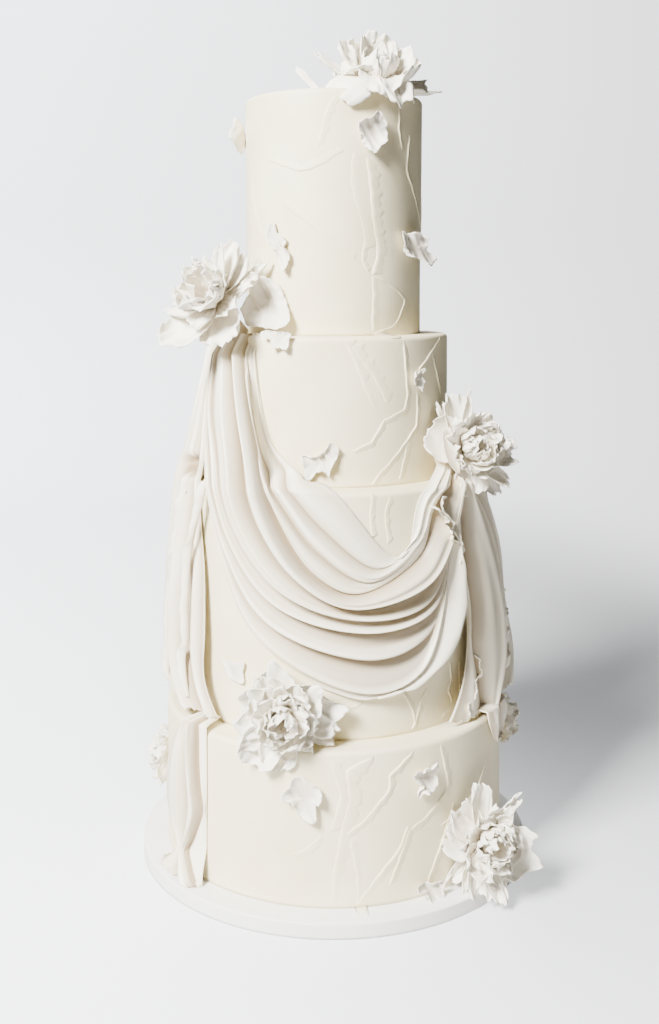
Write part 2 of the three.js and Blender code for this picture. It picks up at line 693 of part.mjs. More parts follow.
function loosePetal(spec, seed) {
  const { phi, z, roll, length, width, cup, tip } = spec;
  const { swing = 0, lean = 0, away = 0, radius = wallRadius(z) } = spec;
  const wave = 6.3 * draws(seed + 40)();
  const outward = polar(phi + swing, 1, 0);
  const sideways = polar(phi + swing + 90, 1, 0);
  const upward = new THREE.Vector3(0, 0, 1).addScaledVector(outward, lean);
  const [cos, sin] = [Math.cos(rad(roll)), Math.sin(rad(roll))];
  const along = upward.clone().multiplyScalar(cos).addScaledVector(sideways, sin);
  const across = sideways.clone().multiplyScalar(cos).addScaledVector(upward, -sin);
  const middle = polar(phi, radius + PETAL_STANDOFF + away, z);
  const ruffle = LOOSE_RUFFLE * length;
  const place = (s, t) => {
    const half = halfWidth(width, s);
    const side = half * Math.sin(cup * t) / cup;
    const curl = half * (1 - Math.cos(cup * t)) / cup + tip * (2 * s - 1) ** 2;
    const wavy = ruffle * Math.abs(t) * Math.sin(6 * t + 5 * s + wave);
    const point = middle.clone()
      .addScaledVector(along, length * (tornLength(s, t, wave) - 0.5))
      .addScaledVector(across, side)
      .addScaledVector(outward, curl + wavy);
    return { point, outward };
  };
  return toSolid(petalSlab(3, 4, place)).subtract(cakeEnvelope).subtract(drapeEnvelope);
}

// ---------------------------------------------------------------- the parts

const cake = new THREE.Group();

function addPart(name, geometry, material) {
  const mesh = new THREE.Mesh(geometry, material);
  mesh.name = name;
  cake.add(mesh);
}

addPart('cake_drum', drumGeometry, board());
for (const tier of TIERS) addPart(tier.name, turned(tierProfile(tier)), fondant());
for (const [name, spec] of Object.entries(DRAPES)) addPart(name, toGeometry(drape(spec)), drapery());
for (const spec of FLOWERS) addPart(spec.name, toGeometry(flower(spec)), sugar());
LOOSE_PETALS.forEach((spec, i) => addPart(spec.name, toGeometry(loosePetal(spec, i)), sugar()));

export default cake;
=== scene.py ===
# %% [markdown]
# # A wedding cake dressed in fondant cloth
#
# The real cake is four round tiers under rolled fondant, stacked on a thin round drum. Torn strips of
# fondant make raised veins on the walls, wider sheets hang in folds like cloth, and sugar peonies and
# loose petals are stuck on. This lesson builds each of them as a surface worked out with numpy: a
# shape is a function of two parameters on a grid, and the grid becomes a mesh. The frame that is
# loaded first holds the plain solids at their real size, and every surface here stands for one of them.

# %% Load the frame
import math

import bpy
import numpy as np
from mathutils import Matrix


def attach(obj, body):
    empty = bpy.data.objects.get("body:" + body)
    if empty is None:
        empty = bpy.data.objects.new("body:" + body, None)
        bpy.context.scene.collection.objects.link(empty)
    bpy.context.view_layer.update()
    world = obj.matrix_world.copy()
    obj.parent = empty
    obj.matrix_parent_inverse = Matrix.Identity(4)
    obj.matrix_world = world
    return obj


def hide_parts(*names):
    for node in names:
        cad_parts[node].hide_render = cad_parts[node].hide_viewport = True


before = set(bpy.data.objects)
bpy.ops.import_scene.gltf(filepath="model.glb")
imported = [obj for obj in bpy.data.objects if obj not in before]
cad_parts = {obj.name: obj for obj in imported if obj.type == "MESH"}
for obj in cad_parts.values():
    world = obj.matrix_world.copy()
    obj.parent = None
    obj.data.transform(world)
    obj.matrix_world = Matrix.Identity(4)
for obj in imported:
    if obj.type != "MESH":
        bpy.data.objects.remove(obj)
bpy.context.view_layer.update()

BODY = "root"
MM = 0.001

# %% [markdown]
# ## The camera
#
# The view is from the front, a little above the middle of the cake and tilted three degrees down, so
# the uprights nearly keep their parallel lines. The sideways and upward shift of the lens frames the
# cake without turning the camera further.

# %% Camera
IMAGE_WIDTH, IMAGE_HEIGHT = 659, 1024
FOCAL_PIXELS = 1147.5
VIEW_CENTRE = (333.9, 349.3)
SENSOR = 36.0
CAMERA_PLACE = (0, -1.0651, 0.5172)
TILT_DOWN = 3

camera_data = bpy.data.cameras.new("camera")
camera_data.sensor_width = SENSOR
camera_data.lens = SENSOR * FOCAL_PIXELS / IMAGE_HEIGHT
camera_data.shift_x = (IMAGE_WIDTH / 2 - VIEW_CENTRE[0]) / IMAGE_HEIGHT
camera_data.shift_y = -(IMAGE_HEIGHT / 2 - VIEW_CENTRE[1]) / IMAGE_HEIGHT
camera = bpy.data.objects.new("camera", camera_data)
camera.location = CAMERA_PLACE
camera.rotation_euler = (math.radians(90 - TILT_DOWN), 0, 0)
bpy.context.collection.objects.link(camera)
bpy.context.scene.camera = camera
print("lens, mm:", round(camera_data.lens, 2))

# %% [markdown]
# ## Grids become meshes
#
# A few helpers do all the mesh work. `grid_faces` joins the points of a grid into four-sided faces.
# `shell` gives a sheet its thickness: it finds the normal of the sheet from its two grid directions
# and sets a second face below the first, so both faces are split alike. `outward` turns the faces out
# by the sign of the volume. `make_piece` writes the arrays into a mesh in one go, hangs it under the
# body's empty and hides the solids of the frame that the new piece stands for.

# %% Mesh helpers
def grid_faces(rows, columns, closed_columns=False):
    """Four-sided faces of a grid whose point (i, j) has the number i * columns + j."""
    i = np.arange(rows - 1)[:, None]
    j = np.arange(columns if closed_columns else columns - 1)[None, :]
    right = (j + 1) % columns
    corners = (i * columns + j, i * columns + right, (i + 1) * columns + right, (i + 1) * columns + j)
    return np.stack(corners, axis=-1).reshape(-1, 4)


def shell_faces(rows, columns):
    """Faces of a closed shell: ring i holds its front row left to right, then its back row reversed."""
    ring = 2 * columns
    j = np.arange(columns - 1)
    lid = np.stack([j + 1, j, ring - 1 - j, ring - 2 - j], axis=-1)
    return np.concatenate([grid_faces(rows, ring, True), lid, lid[:, ::-1] + (rows - 1) * ring])


def unit(vectors):
    """Each vector divided by its length."""
    return vectors / np.maximum(np.linalg.norm(vectors, axis=-1, keepdims=True), 1e-12)


def normals(sheet):
    """Cross product of the sheet's two grid directions, of length 1."""
    return unit(np.cross(np.gradient(sheet, axis=0), np.gradient(sheet, axis=1)))


def shell(front, back):
    """Points and faces of the closed shell between two grids of the same size."""
    rows, columns = front.shape[:2]
    ring = np.concatenate([front, back[:, ::-1]], axis=1)
    return ring.reshape(-1, 3), shell_faces(rows, columns)


def joined(parts):
    """Several sets of points and faces as one set, each with its faces turned outwards."""
    starts = np.cumsum([0] + [len(points) for points, faces in parts[:-1]])
    points = np.concatenate([points for points, faces in parts])
    faces = [outward(part, corners) + start for start, (part, corners) in zip(starts, parts)]
    return points, np.concatenate(faces)


def both_faces(values):
    """A grid of values for the sheet, laid out as the points of its shell are."""
    return np.concatenate([values, values[:, ::-1]], axis=1).ravel()


def outward(points, faces):
    """The faces, turned over if the volume that they enclose comes out negative."""
    a, b, c, d = (points[faces[:, k]] for k in range(4))
    volume = np.einsum("ij,ij->", a, np.cross(b, c)) + np.einsum("ij,ij->", a, np.cross(c, d))
    return faces if volume > 0 else faces[:, ::-1]


def mesh_object(name, points, faces, finish):
    """A smooth mesh of points in millimetres, as an object at the origin."""
    mesh = bpy.data.meshes.new(name)
    mesh.vertices.add(len(points))
    mesh.vertices.foreach_set("co", (points * MM).astype(np.float32).ravel())
    mesh.loops.add(faces.size)
    mesh.loops.foreach_set("vertex_index", faces.astype(np.int32).ravel())
    mesh.polygons.add(len(faces))
    mesh.polygons.foreach_set("loop_start", np.arange(0, faces.size, 4, dtype=np.int32))
    mesh.polygons.foreach_set("use_smooth", np.ones(len(faces), dtype=bool))
    mesh.update(calc_edges=True)
    mesh.validate()
    mesh.materials.append(finish)
    piece = bpy.data.objects.new(name, mesh)
    bpy.context.collection.objects.link(piece)
    return piece


def make_piece(name, points, faces, finish, slot, *nodes, depth=None):
    """A piece of the cake, which replaces the named solids. depth is painted shade, from 0 to 1 for
    each point: where it is high, in the valleys and recesses, the finish is darker."""
    piece = mesh_object(name, points, faces, finish)
    if depth is not None:
        # The attribute carries the painted shade that the finish mixes in.
        attribute = piece.data.attributes.new("painted_shade", "FLOAT", "POINT")
        attribute.data.foreach_set("value", depth.astype(np.float32))
    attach(piece, BODY)
    if nodes:
        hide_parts(*nodes)
    print(name, "has", 2 * len(faces), "triangles")


# %% [markdown]
# ## Numbers that repeat
#
# `through` and `round_through` draw a smooth curve through a few stations, and `draws` gives the same
# random-looking numbers on every run, as each follows from the one before. Angles round the cake are
# in degrees: 0 is the front, +90 the right side and -90 the left.

# %% Curves and draws
def between(a, b, c, d, t):
    """Catmull-Rom, from b at t = 0 to c at t = 1, with the stations a before b and d after c: half of
    2b + (c - a) t + (2a - 5b + 4c - d) t^2 + (3b - a - 3c + d) t^3."""
    curve = 2 * b + (c - a) * t + (2 * a - 5 * b + 4 * c - d) * t**2 + (3 * b - a - 3 * c + d) * t**3
    return curve / 2


def through(stations, u):
    """The curve through evenly spaced stations, at u from 0 to 1."""
    stations = np.asarray(stations, dtype=float)
    last = len(stations) - 1
    place = np.clip(u, 0, 1) * last
    k = np.minimum(place.astype(int), last - 1)
    return between(*(stations[np.clip(k + step, 0, last)] for step in (-1, 0, 1, 2)), place - k)


def round_through(corners, around):
    """The closed curve through some corners, as a number of points."""
    corners = np.asarray(corners, dtype=float)
    place = np.linspace(0, len(corners), around, endpoint=False)
    k = place.astype(int)
    near = (corners[(k + step) % len(corners)] for step in (-1, 0, 1, 2))
    return between(*near, (place - k)[:, None])


def lerp(a, b, t):
    """A straight line from a, where t is 0, to b, where t is 1."""
    return a + (b - a) * t


def smooth(x, low, high):
    """0 below low, 1 above high, and 3t^2 - 2t^3 between."""
    t = np.clip((x - low) / (high - low), 0, 1)
    return t * t * (3 - 2 * t)


def draws(seed):
    """An endless row of repeatable numbers from 0 to 1."""
    state = seed * 7919 + 17
    while True:
        state = state * 16807 % 2147483647
        yield state / 2147483647


def polar(phi, r, z):
    """x = r sin phi, y = -r cos phi, z: millimetres round the cake, phi in degrees."""
    turn = np.radians(phi)
    return np.stack(np.broadcast_arrays(r * np.sin(turn), -r * np.cos(turn), z), axis=-1)


# %% [markdown]
# ## Finishes
#
# Everything is sugar, so the finishes differ only a little. The tiers are ivory rolled fondant with a
# faint bloom, the drapes the same fondant with a pearl dust that catches the light, the petals a
# whiter, drier flower paste, and the drum a white satin icing. Each gets two close tones mixed by a
# slow noise, a darker third tone painted as shade into the valleys and recesses where a piece asks for
# it, and a fine bump for the surface that rolling, dusting or drying leaves.

# %% Finish helpers
def fill(tree, node, inputs):
    """Gives each named input its value, or a link from another node's output."""
    for key, value in inputs.items():
        if isinstance(value, bpy.types.NodeSocket):
            tree.links.new(value, node.inputs[key])
        else:
            node.inputs[key].default_value = value


def add_node(tree, kind, inputs, **settings):
    """A shader node with its settings made and its inputs filled."""
    node = tree.nodes.new("ShaderNode" + kind)
    for key, value in settings.items():
        setattr(node, key, value)
    fill(tree, node, inputs)
    return node


def new_finish(name):
    """A material, its node tree, its shader, and the place on the object as an output to link."""
    material = bpy.data.materials.new(name)
    material.use_nodes = True
    tree = material.node_tree
    place = add_node(tree, "TexCoord", {}).outputs["Object"]
    return material, tree, tree.nodes["Principled BSDF"], place


def two_tones(tree, amount, low, high, start=0.0, end=1.0):
    """A ramp from the low colour, where the amount is start, to the high one at end."""
    ramp = add_node(tree, "ValToRGB", {"Fac": amount})
    for element, place, colour in zip(ramp.color_ramp.elements, (start, end), (low, high)):
        element.position = place
        element.color = (*colour, 1)
    return ramp.outputs["Color"]


def sugar_finish(name, light, dark, painted_shade, patch, roughness, grain, relief, sheen=0.0):
    """A two-tone sugar surface, with a darker third tone painted as shade into its valleys and
    recesses, where a point attribute asks for it. patch and grain are the sizes of its tones and its
    bump, mm, and relief is the height of the bump, mm."""
    material, tree, shader, place = new_finish(name)
    tones = add_node(tree, "TexNoise", {"Vector": place, "Scale": 1 / (patch * MM), "Detail": 4})
    tone = two_tones(tree, tones.outputs["Fac"], dark, light, 0.35, 0.65)
    deep = add_node(tree, "Attribute", {}, attribute_name="painted_shade").outputs["Fac"]
    # The third colour is mixed in as painted shade where the point attribute is high.
    shade = add_node(tree, "Mix", {"Factor": deep, "A": tone, "B": (*painted_shade, 1)}, data_type="RGBA")
    fine = add_node(tree, "TexNoise", {"Vector": place, "Scale": 1 / (grain * MM), "Detail": 3})
    height = fine.outputs["Fac"]
    bump = add_node(tree, "Bump", {"Height": height, "Strength": 1, "Distance": relief * MM})
    fill(tree, shader, {
        "Base Color": shade.outputs["Result"], "Normal": bump.outputs["Normal"], "Roughness": roughness,
        "Specular IOR Level": 0.4, "Sheen Weight": sheen, "Sheen Roughness": 0.4,
    })
    return material


# %% Finishes
fondant = sugar_finish(
    "ivory fondant", (0.88, 0.80, 0.57), (0.82, 0.735, 0.49), (0.60, 0.49, 0.30),
    patch=45, roughness=0.55, grain=3, relief=0.05,
)
drapery = sugar_finish(
    "pearled fondant cloth", (0.95, 0.885, 0.73), (0.92, 0.845, 0.67), (0.34, 0.25, 0.14),
    patch=25, roughness=0.42, grain=2, relief=0.04, sheen=0.15,
)
sugar = sugar_finish(
    "flower paste", (0.91, 0.87, 0.77), (0.88, 0.83, 0.71), (0.52, 0.43, 0.30),
    patch=12, roughness=0.6, grain=0.8, relief=0.06,
)
icing = sugar_finish(
    "drum icing", (0.84, 0.84, 0.82), (0.82, 0.82, 0.80), (0.7, 0.7, 0.68),
    patch=90, roughness=0.45, grain=4, relief=0.05,
)

# %% [markdown]
# ## The tiers and the drum
#
# A tier is turned: its outline runs from the middle of the underside out to the wall, up, over the
# rounded rim and back to the middle of the top, and is carried round. Rolled fondant is never quite
# true, so the wall swells and sinks by a few tenths of a millimetre.

# %% Tiers
DRUM = dict(foot=178.0, rim=178.0, bottom=0.0, top=13.0)
TIERS = {
    "tier_1": dict(foot=155.0, rim=155.0, bottom=13.0, top=142.8),
    "tier_2": dict(foot=131.0, rim=131.0, bottom=142.8, top=349.5),
    "tier_3": dict(foot=104.7, rim=104.7, bottom=349.5, top=476.9),
    "tier_4": dict(foot=79.4, rim=81.0, bottom=476.9, top=688.6),
}
TIER_ROUND, DRUM_ROUND = 4.0, 1.5
WALL_STEP, DRUM_STEP, DRUM_AROUND = 3.0, 2.0, 400
RIM_STEPS, TOP_STEPS, UNDER_STEPS = 8, 24, 6
PINHOLE = 0.01
UNEVEN = 0.25


def up_wall(wall, z):
    """The radius at a height of a wall that runs straight from its foot to its rim."""
    return lerp(wall["foot"], wall["rim"], (z - wall["bottom"]) / (wall["top"] - wall["bottom"]))


def wall_radius(z):
    """The cake's own radius at a height: that of the tier, or of the drum below tier 1."""
    z = np.asarray(z, dtype=float)
    radius = np.full(z.shape, DRUM["rim"])
    for tier in TIERS.values():
        radius = np.where(z > tier["bottom"], up_wall(tier, z), radius)
    return radius


def turned(profile, around, wave=0.0, seed=1):
    """Carries an outline of (radius, height) rows round the axis. The radius swells by
    wave / 2 * (sin(3 phi + z / 37) + sin(5 phi - z / 23)), fading out towards the axis."""
    phi = np.linspace(-180, 180, around, endpoint=False)[None, :]
    radius, height = profile[:, :1], profile[:, 1:]
    turn = np.radians(phi)
    swell = np.sin(3 * turn + height / 37 + seed) + np.sin(5 * turn - height / 23 + 2 * seed)
    points = polar(phi, radius + wave / 2 * swell * smooth(radius, 20, 60), height + 0 * phi)
    return points.reshape(-1, 3), grid_faces(len(profile), around, True)


def capped(points, faces, around):
    """Closes the pinholes in a grid's first and last ring with flat rows of four-sided faces."""
    j = np.arange(0, around // 2 - 1)
    lid = np.stack([j, j + 1, around - 2 - j, around - 1 - j], axis=-1)
    return points, np.concatenate([faces, lid[:, ::-1], lid + len(points) - around])


def lathed(wall, edge, step, around, wave=0.0, seed=1):
    """From the axis out along the underside, up the wall, round the rim's quarter circle and back to
    the axis along the top, all of it carried round."""
    bottom, top = wall["bottom"], wall["top"]
    wall_z = np.linspace(bottom, top - edge, max(2, round((top - edge - bottom) / step)))
    wall_r = up_wall(wall, wall_z)
    bend = np.radians(np.linspace(0, 90, RIM_STEPS))[1:]
    rim_r = wall_r[-1] - edge * (1 - np.cos(bend))
    rim_z = wall_z[-1] + edge * np.sin(bend)
    across = np.linspace(rim_r[-1], PINHOLE, TOP_STEPS)[1:]
    under = np.linspace(PINHOLE, wall["foot"], UNDER_STEPS)[:-1]
    radius = np.concatenate([under, wall_r, rim_r, across])
    height = np.concatenate([under * 0 + bottom, wall_z, rim_z, across * 0 + top])
    points, faces = capped(*turned(np.stack([radius, height], axis=1), around, wave, seed), around)
    return points, outward(points, faces)


for number, (name, tier) in enumerate(TIERS.items(), 1):
    around = 2 * round(math.pi * tier["rim"] / WALL_STEP)
    points, faces = lathed(tier, TIER_ROUND, WALL_STEP, around, UNEVEN, number)
    make_piece(name + "_fondant", points, faces, fondant, "fondant", name)

points, faces = lathed(DRUM, DRUM_ROUND, DRUM_STEP, DRUM_AROUND)
make_piece("drum_icing", points, faces, icing, "board", "cake_drum")

# %% [markdown]
# ## Veins
#
# Thin torn strips of fondant are laid on the walls and smoothed down on one side, which leaves a
# raised line with a soft side and a crisp side. Each vein is a narrow band swept along a route of a
# few points on the wall, given as an angle and a height. `soft` and `crisp` are its widths on either
# side of the line, and its feet are sunk into the wall so that no gap shows.

# %% Vein surface
VEIN_RISE = 1.15
VEIN_SINK = 0.7
SOFT_POWER, CRISP_POWER = 1.7, 0.6


def vein(route, soft, crisp, height, seed, rows=70, columns=9):
    """At a along the route and b across it, from -1 to 1: the point lies b * width to the side of
    the route, width being 1.4 soft + 3 or 0.7 crisp, and stands 1.15 height * (1 - |b|)^p over the
    wall, p = 1.7 on the soft side and 0.6 on the crisp one, and less at both ends. A few sines let
    the line wander and its width and height vary, so that it looks torn."""
    draw = draws(seed)
    a = np.linspace(0, 1, rows)[:, None]
    b = np.linspace(-1, 1, columns)[None, :]
    to_end = np.minimum(a, 1 - a)
    route = np.asarray(route, dtype=float)
    bend = np.linspace(0, 1, len(route))
    phi, z = (lerp(through(route[:, k], a), np.interp(a, bend, route[:, k]), 0.6) for k in (0, 1))
    radius = wall_radius(z)
    x = np.radians(phi) * radius
    dx, dz = np.gradient(x, axis=0), np.gradient(z, axis=0)
    length = np.hypot(dx, dz)
    run = np.cumsum(length, axis=0)
    wander = 0.25 * np.sin(run / 2.3 + 6 * next(draw)) + 0.5 * np.sin(run / 11 + 6 * next(draw))
    ragged = 1 + 0.25 * np.sin(run / 1.7 + 6 * next(draw)) * np.sin(run / 5.3 + 6 * next(draw))
    width = np.where(b < 0, 1.4 * soft + 3, 0.7 * crisp) * ragged * smooth(to_end, -0.02, 0.08)
    side = wander + b * width
    power = np.where(b < 0, SOFT_POWER, CRISP_POWER)
    swell = 0.75 + 0.25 * np.sin(run / 13 + 6 * next(draw))
    rise = VEIN_RISE * height * swell * (1 - np.abs(b)) ** power * smooth(to_end, 0, 0.06)
    x, z = x + side * dz / length, z - side * dx / length
    top = wall_radius(z) + rise - VEIN_SINK * (np.abs(b) > 0.99)
    phi = np.degrees(x / radius)
    return shell(polar(phi, top, z), polar(phi, wall_radius(z) - 1.2 * VEIN_SINK, z))


# %% Vein routes
VEINS = {
    "tier_4": [
        ([(43, 686), (44, 664), (44, 655), (48, 639)], 1.2, 0.8, 0.9),
        ([(56, 653), (52, 622), (58, 609), (78, 575)], 1.2, 0.8, 1.0),
        ([(12, 636), (12, 606), (19, 568), (20, 551)], 9.0, 3.0, 0.5),
        ([(20, 632), (24, 589), (28, 551), (24, 529)], 7.0, 1.0, 0.9),
        ([(20, 559), (18, 542), (22, 532)], 1.5, 1.0, 0.5),
        ([(24, 529), (25, 510), (25, 480)], 5.0, 1.0, 0.7),
        ([(26, 529), (51, 508), (43, 486), (25, 479)], 1.5, 1.0, 0.8),
        ([(1, 682), (-4, 669), (-10, 640)], 3.0, 1.0, 0.5),
        ([(-48, 630), (-21, 619), (-7, 624), (7, 636)], 3.0, 1.2, 0.6),
        ([(-36, 594), (1, 555), (13, 542)], 3.0, 1.0, 0.4),
        ([(-69, 628), (-66, 597), (-53, 556)], 2.5, 1.0, 0.6),
    ],
    "tier_3": [
        ([(5, 474), (12, 445), (19, 417)], 5.0, 1.2, 0.6),
        ([(8, 470), (18, 445), (26, 419)], 5.0, 1.5, 0.6),
        ([(34, 474), (36, 448), (37, 427), (35, 415), (24, 406), (18, 388), (7, 380)], 2.0, 1.0, 1.0),
        ([(64, 474), (55, 464), (44, 447)], 1.5, 0.9, 0.9),
        ([(56, 459), (61, 440), (65, 423)], 1.2, 0.8, 0.9),
        ([(43, 428), (43, 400), (34, 382), (21, 360), (18, 351)], 1.8, 0.9, 0.9),
        ([(38, 388), (35, 372), (32, 354)], 3.0, 1.0, 0.5),
    ],
    "tier_2": [
        ([(14, 349), (13, 330), (14, 312)], 1.5, 1.0, 0.6),
        ([(21, 347), (19, 330), (20, 306)], 1.3, 0.8, 0.4),
        ([(26, 178), (29, 168), (31, 158), (32, 146)], 1.5, 1.2, 1.1),
        ([(37, 178), (34, 169), (32, 155), (30, 146)], 1.5, 1.2, 1.1),
        ([(50, 195), (51, 180), (49, 169), (51, 158), (44, 147)], 1.3, 1.1, 1.2),
        ([(57, 191), (57, 172), (58, 155)], 1.3, 0.8, 0.8),
        ([(4, 169), (8, 171), (12, 176)], 2.0, 1.0, 0.6),
    ],
    "tier_1": [
        ([(12, 138), (4, 128), (5, 103), (2, 74), (0, 40), (0, 16)], 6.0, 1.5, 0.8),
        ([(-1, 137), (2, 108), (-1, 77)], 5.0, 1.2, 0.6),
        ([(-4, 74), (-8, 63), (-12, 56)], 3.0, 1.0, 0.5),
        ([(25, 138), (17, 121), (17, 109), (10, 87), (3, 74)], 1.8, 1.0, 0.9),
        ([(5, 72), (7, 41), (7, 15)], 2.5, 1.0, 0.6),
        ([(23, 77), (20, 57), (13, 36), (6, 14)], 4.0, 1.5, 1.0),
        ([(24, 74), (20, 50), (17, 29)], 2.5, 1.2, 0.9),
        ([(35, 138), (38, 102), (30, 81), (24, 72)], 3.0, 1.0, 0.9),
        ([(60, 109), (52, 85), (35, 69)], 1.5, 0.9, 1.0),
        ([(41, 86), (35, 52), (30, 22)], 3.0, 1.0, 0.8),
    ],
}
FIRST_SEED = 5
AROUND = {**dict.fromkeys(VEINS, (0, 100, 200)), "tier_4": (0, 147)}
for name, routes in VEINS.items():
    ridges = [
        vein([(phi + turn, z) for phi, z in route], soft, crisp, height, FIRST_SEED + k)
        for turn in AROUND[name] for k, (route, soft, crisp, height) in enumerate(routes)
    ]
    points, faces = joined(ridges)
    make_piece(name + "_veins", points, faces, fondant, "fondant")

# %% [markdown]
# ## Drapes
#
# A drape is one rolled sheet laid in folds. Its valleys are lines with stations from the gather
# downwards, and the sheet rises to a rounded crest between two valleys and drops back steeply, which
# makes the thin dark line where one fold tucks under the next. The same net gives the solid its form,
# and here it is sampled finely, creased along the folds, torn along its edges and given a thickness.

# %% Drape surface
DRAPE_THICKNESS, DRAPE_EDGE = 1.6, 0.7
CREST_POWER = 0.75
HEM_START = 0.965
PHI, Z, LIFT = range(3)


def drape_sheet(spec, rows, per_fold):
    """At u down the folds and v across them, which lies t of the way from one valley to the next:
    phi, z and lift run straight from valley to valley, and r = reach(z) + lift + crest * rise, where
    rise = sin(pi t^lean)^0.75. The crest slips over * rise towards the next valley, so that a fold
    hangs over its valley. On a ledge a share of the rise, heap, goes up instead, and tuck takes the
    sheet's top in over a rim. Finer creases follow the folds, pinch draws them in, and the hem is
    torn by a few sines. The second grid is painted shade, darker in the valleys between raised folds,
    in the grooves of the creases and in the pinch."""
    folds = spec["folds"]
    last = len(folds) - 1
    draw = draws(spec["seed"])
    u = np.linspace(0, 1, rows)[:, None]
    v = np.linspace(0, 1, per_fold * len(folds) + 1)[None, :]
    place = v * len(folds) + 0 * u
    row = np.arange(rows)[:, None]

    def pick(key, k):
        return np.concatenate([through(fold[key], u) for fold in folds], axis=1)[row, k]

    def across(column, where, ease=lambda t: t):
        k = np.clip(where.astype(int), 0, last)
        lines = np.concatenate([through(valley[column], u) for valley in spec["valleys"]], axis=1)
        return lerp(lines[row, k], lines[row, k + 1], ease(where - k))

    k = np.minimum(place.astype(int), last)
    t = place - k
    over = pick("over", k)
    rise = np.sin(np.pi * t ** pick("lean", k)).clip(0) ** CREST_POWER
    crest = pick("crest", k).clip(0)
    slipped = (place + over * rise).clip(0, last + 1)
    phase = np.array([6.3 * next(draw) for fold in folds])[k]
    crease = np.sin(2 * np.pi * 1.6 * t + phase + 4 * u)
    crease += 0.5 * np.sin(2 * np.pi * 3.3 * t + 2 * phase - 7 * u)
    groove = smooth(-crease, 0.2, 1.3) * rise
    crease *= spec["crease"] * rise * (0.4 + 0.12 * crest) * smooth(crest, 0, 4)
    z = across(Z, slipped) + spec.get("heap", 0) * crest * rise * (1 - smooth(u, 0.06, 0.2))
    pinch = spec["pinch"](z, v) if "pinch" in spec else 0 * z
    lift = across(LIFT, place, lambda t: smooth(t, 0, 1))
    r = spec["reach"](z, u, v) + lift + crest * rise + crease - pinch
    # Painted shade: darker in the valleys between raised folds, in the grooves of the creases and in
    # the pinch.
    painted_shade = (1 - rise) ** lerp(0.95, 0.42, smooth(4 * over * (2 * t - 1), -1, 1))
    painted_shade *= smooth(crest, 0, 4) * smooth(np.minimum(v, 1 - v), 0, 0.01)
    painted_shade += pinch / 10 + 0.35 * groove * smooth(crest, 2, 8)
    torn = np.sin(40 * place + 1) + 0.7 * np.sin(17 * place) + 0.5 * np.sin(83 * place)
    ragged = np.sin(50 * u) + 0.7 * np.sin(93 * u + 2) + 0.5 * np.abs(np.sin(31 * u))
    hem = spec["hem"] * ragged * smooth(v, HEM_START, 1)
    tuck = spec.get("tuck", 0) * (1 - smooth(u, 0, 0.04))
    z = z + 0.5 * tuck + spec["tear"] * torn * smooth(u, 0.93, 1.0) + hem
    return polar(across(PHI, slipped) + 0.3 * hem, r - tuck, z), painted_shade.clip(0, 1)


def drape_shell(spec, rows, per_fold):
    """The sheet, and its inner face a thickness below it along the normal."""
    front, painted_shade = drape_sheet(spec, rows, per_fold)
    facing = normals(front)
    centre = (rows // 2, front.shape[1] // 2)
    facing *= np.sign(facing[centre] @ (front[centre] * (1, 1, 0)))
    v = np.linspace(0, 1, front.shape[1])[None, :]
    thickness = lerp(DRAPE_EDGE, DRAPE_THICKNESS, smooth(np.minimum(v, 1 - v), 0, 0.03))
    points, faces = shell(front, front - facing * thickness[..., None])
    return points, faces, both_faces(painted_shade)


# %% Drape nets
LOWER, UPPER = TIERS["tier_2"], TIERS["tier_3"]
LEDGE = UPPER["bottom"]


def between_rims(share):
    """From tier 2's radius to tier 3's."""
    return lerp(LOWER["rim"], UPPER["rim"], share)


def taut(z):
    """Straight from tier 2's rim to tier 3's."""
    return between_rims(np.clip((z - LEDGE) / (UPPER["top"] - LEDGE), 0, 1))


def lying(z):
    """On the ledge, and then against tier 3's wall."""
    return between_rims(smooth(z, LEDGE + 1, LEDGE + 16))


def gathered(z):
    """In over the ledge within 22 mm of height."""
    return between_rims(np.clip((z - LEDGE) / 22, 0, 1))


def flare(z):
    """How far a fall stands off tier 2's wall, up to 9 mm at the foot."""
    return 9.0 * smooth(LEDGE - z, 0, LEDGE - LOWER["bottom"])


def over_the_rim(z, u, v):
    """Out over tier 1's rim, down its wall, and a little out again over the drum."""
    wall = TIERS["tier_1"]["rim"] + 8.0 * (1 - smooth(z, DRUM["top"], 45))
    return lerp(LOWER["rim"] + 3, wall, smooth(u, 0, 0.12))


def swag_reach(z, u, v):
    """Lying on the ledge along the upper edge, taut below that, and gathered at the end."""
    start = lerp(lying(z), taut(z), smooth(v, 0.1, 0.3))
    return lerp(start, gathered(z), smooth(u, 0.6, 0.9))


def fold(crest, lean=(1, 1), over=(0, 0)):
    """How high a fold stands, where its crest lies and how far it hangs over, from top to end."""
    return dict(crest=crest, lean=lean, over=over)


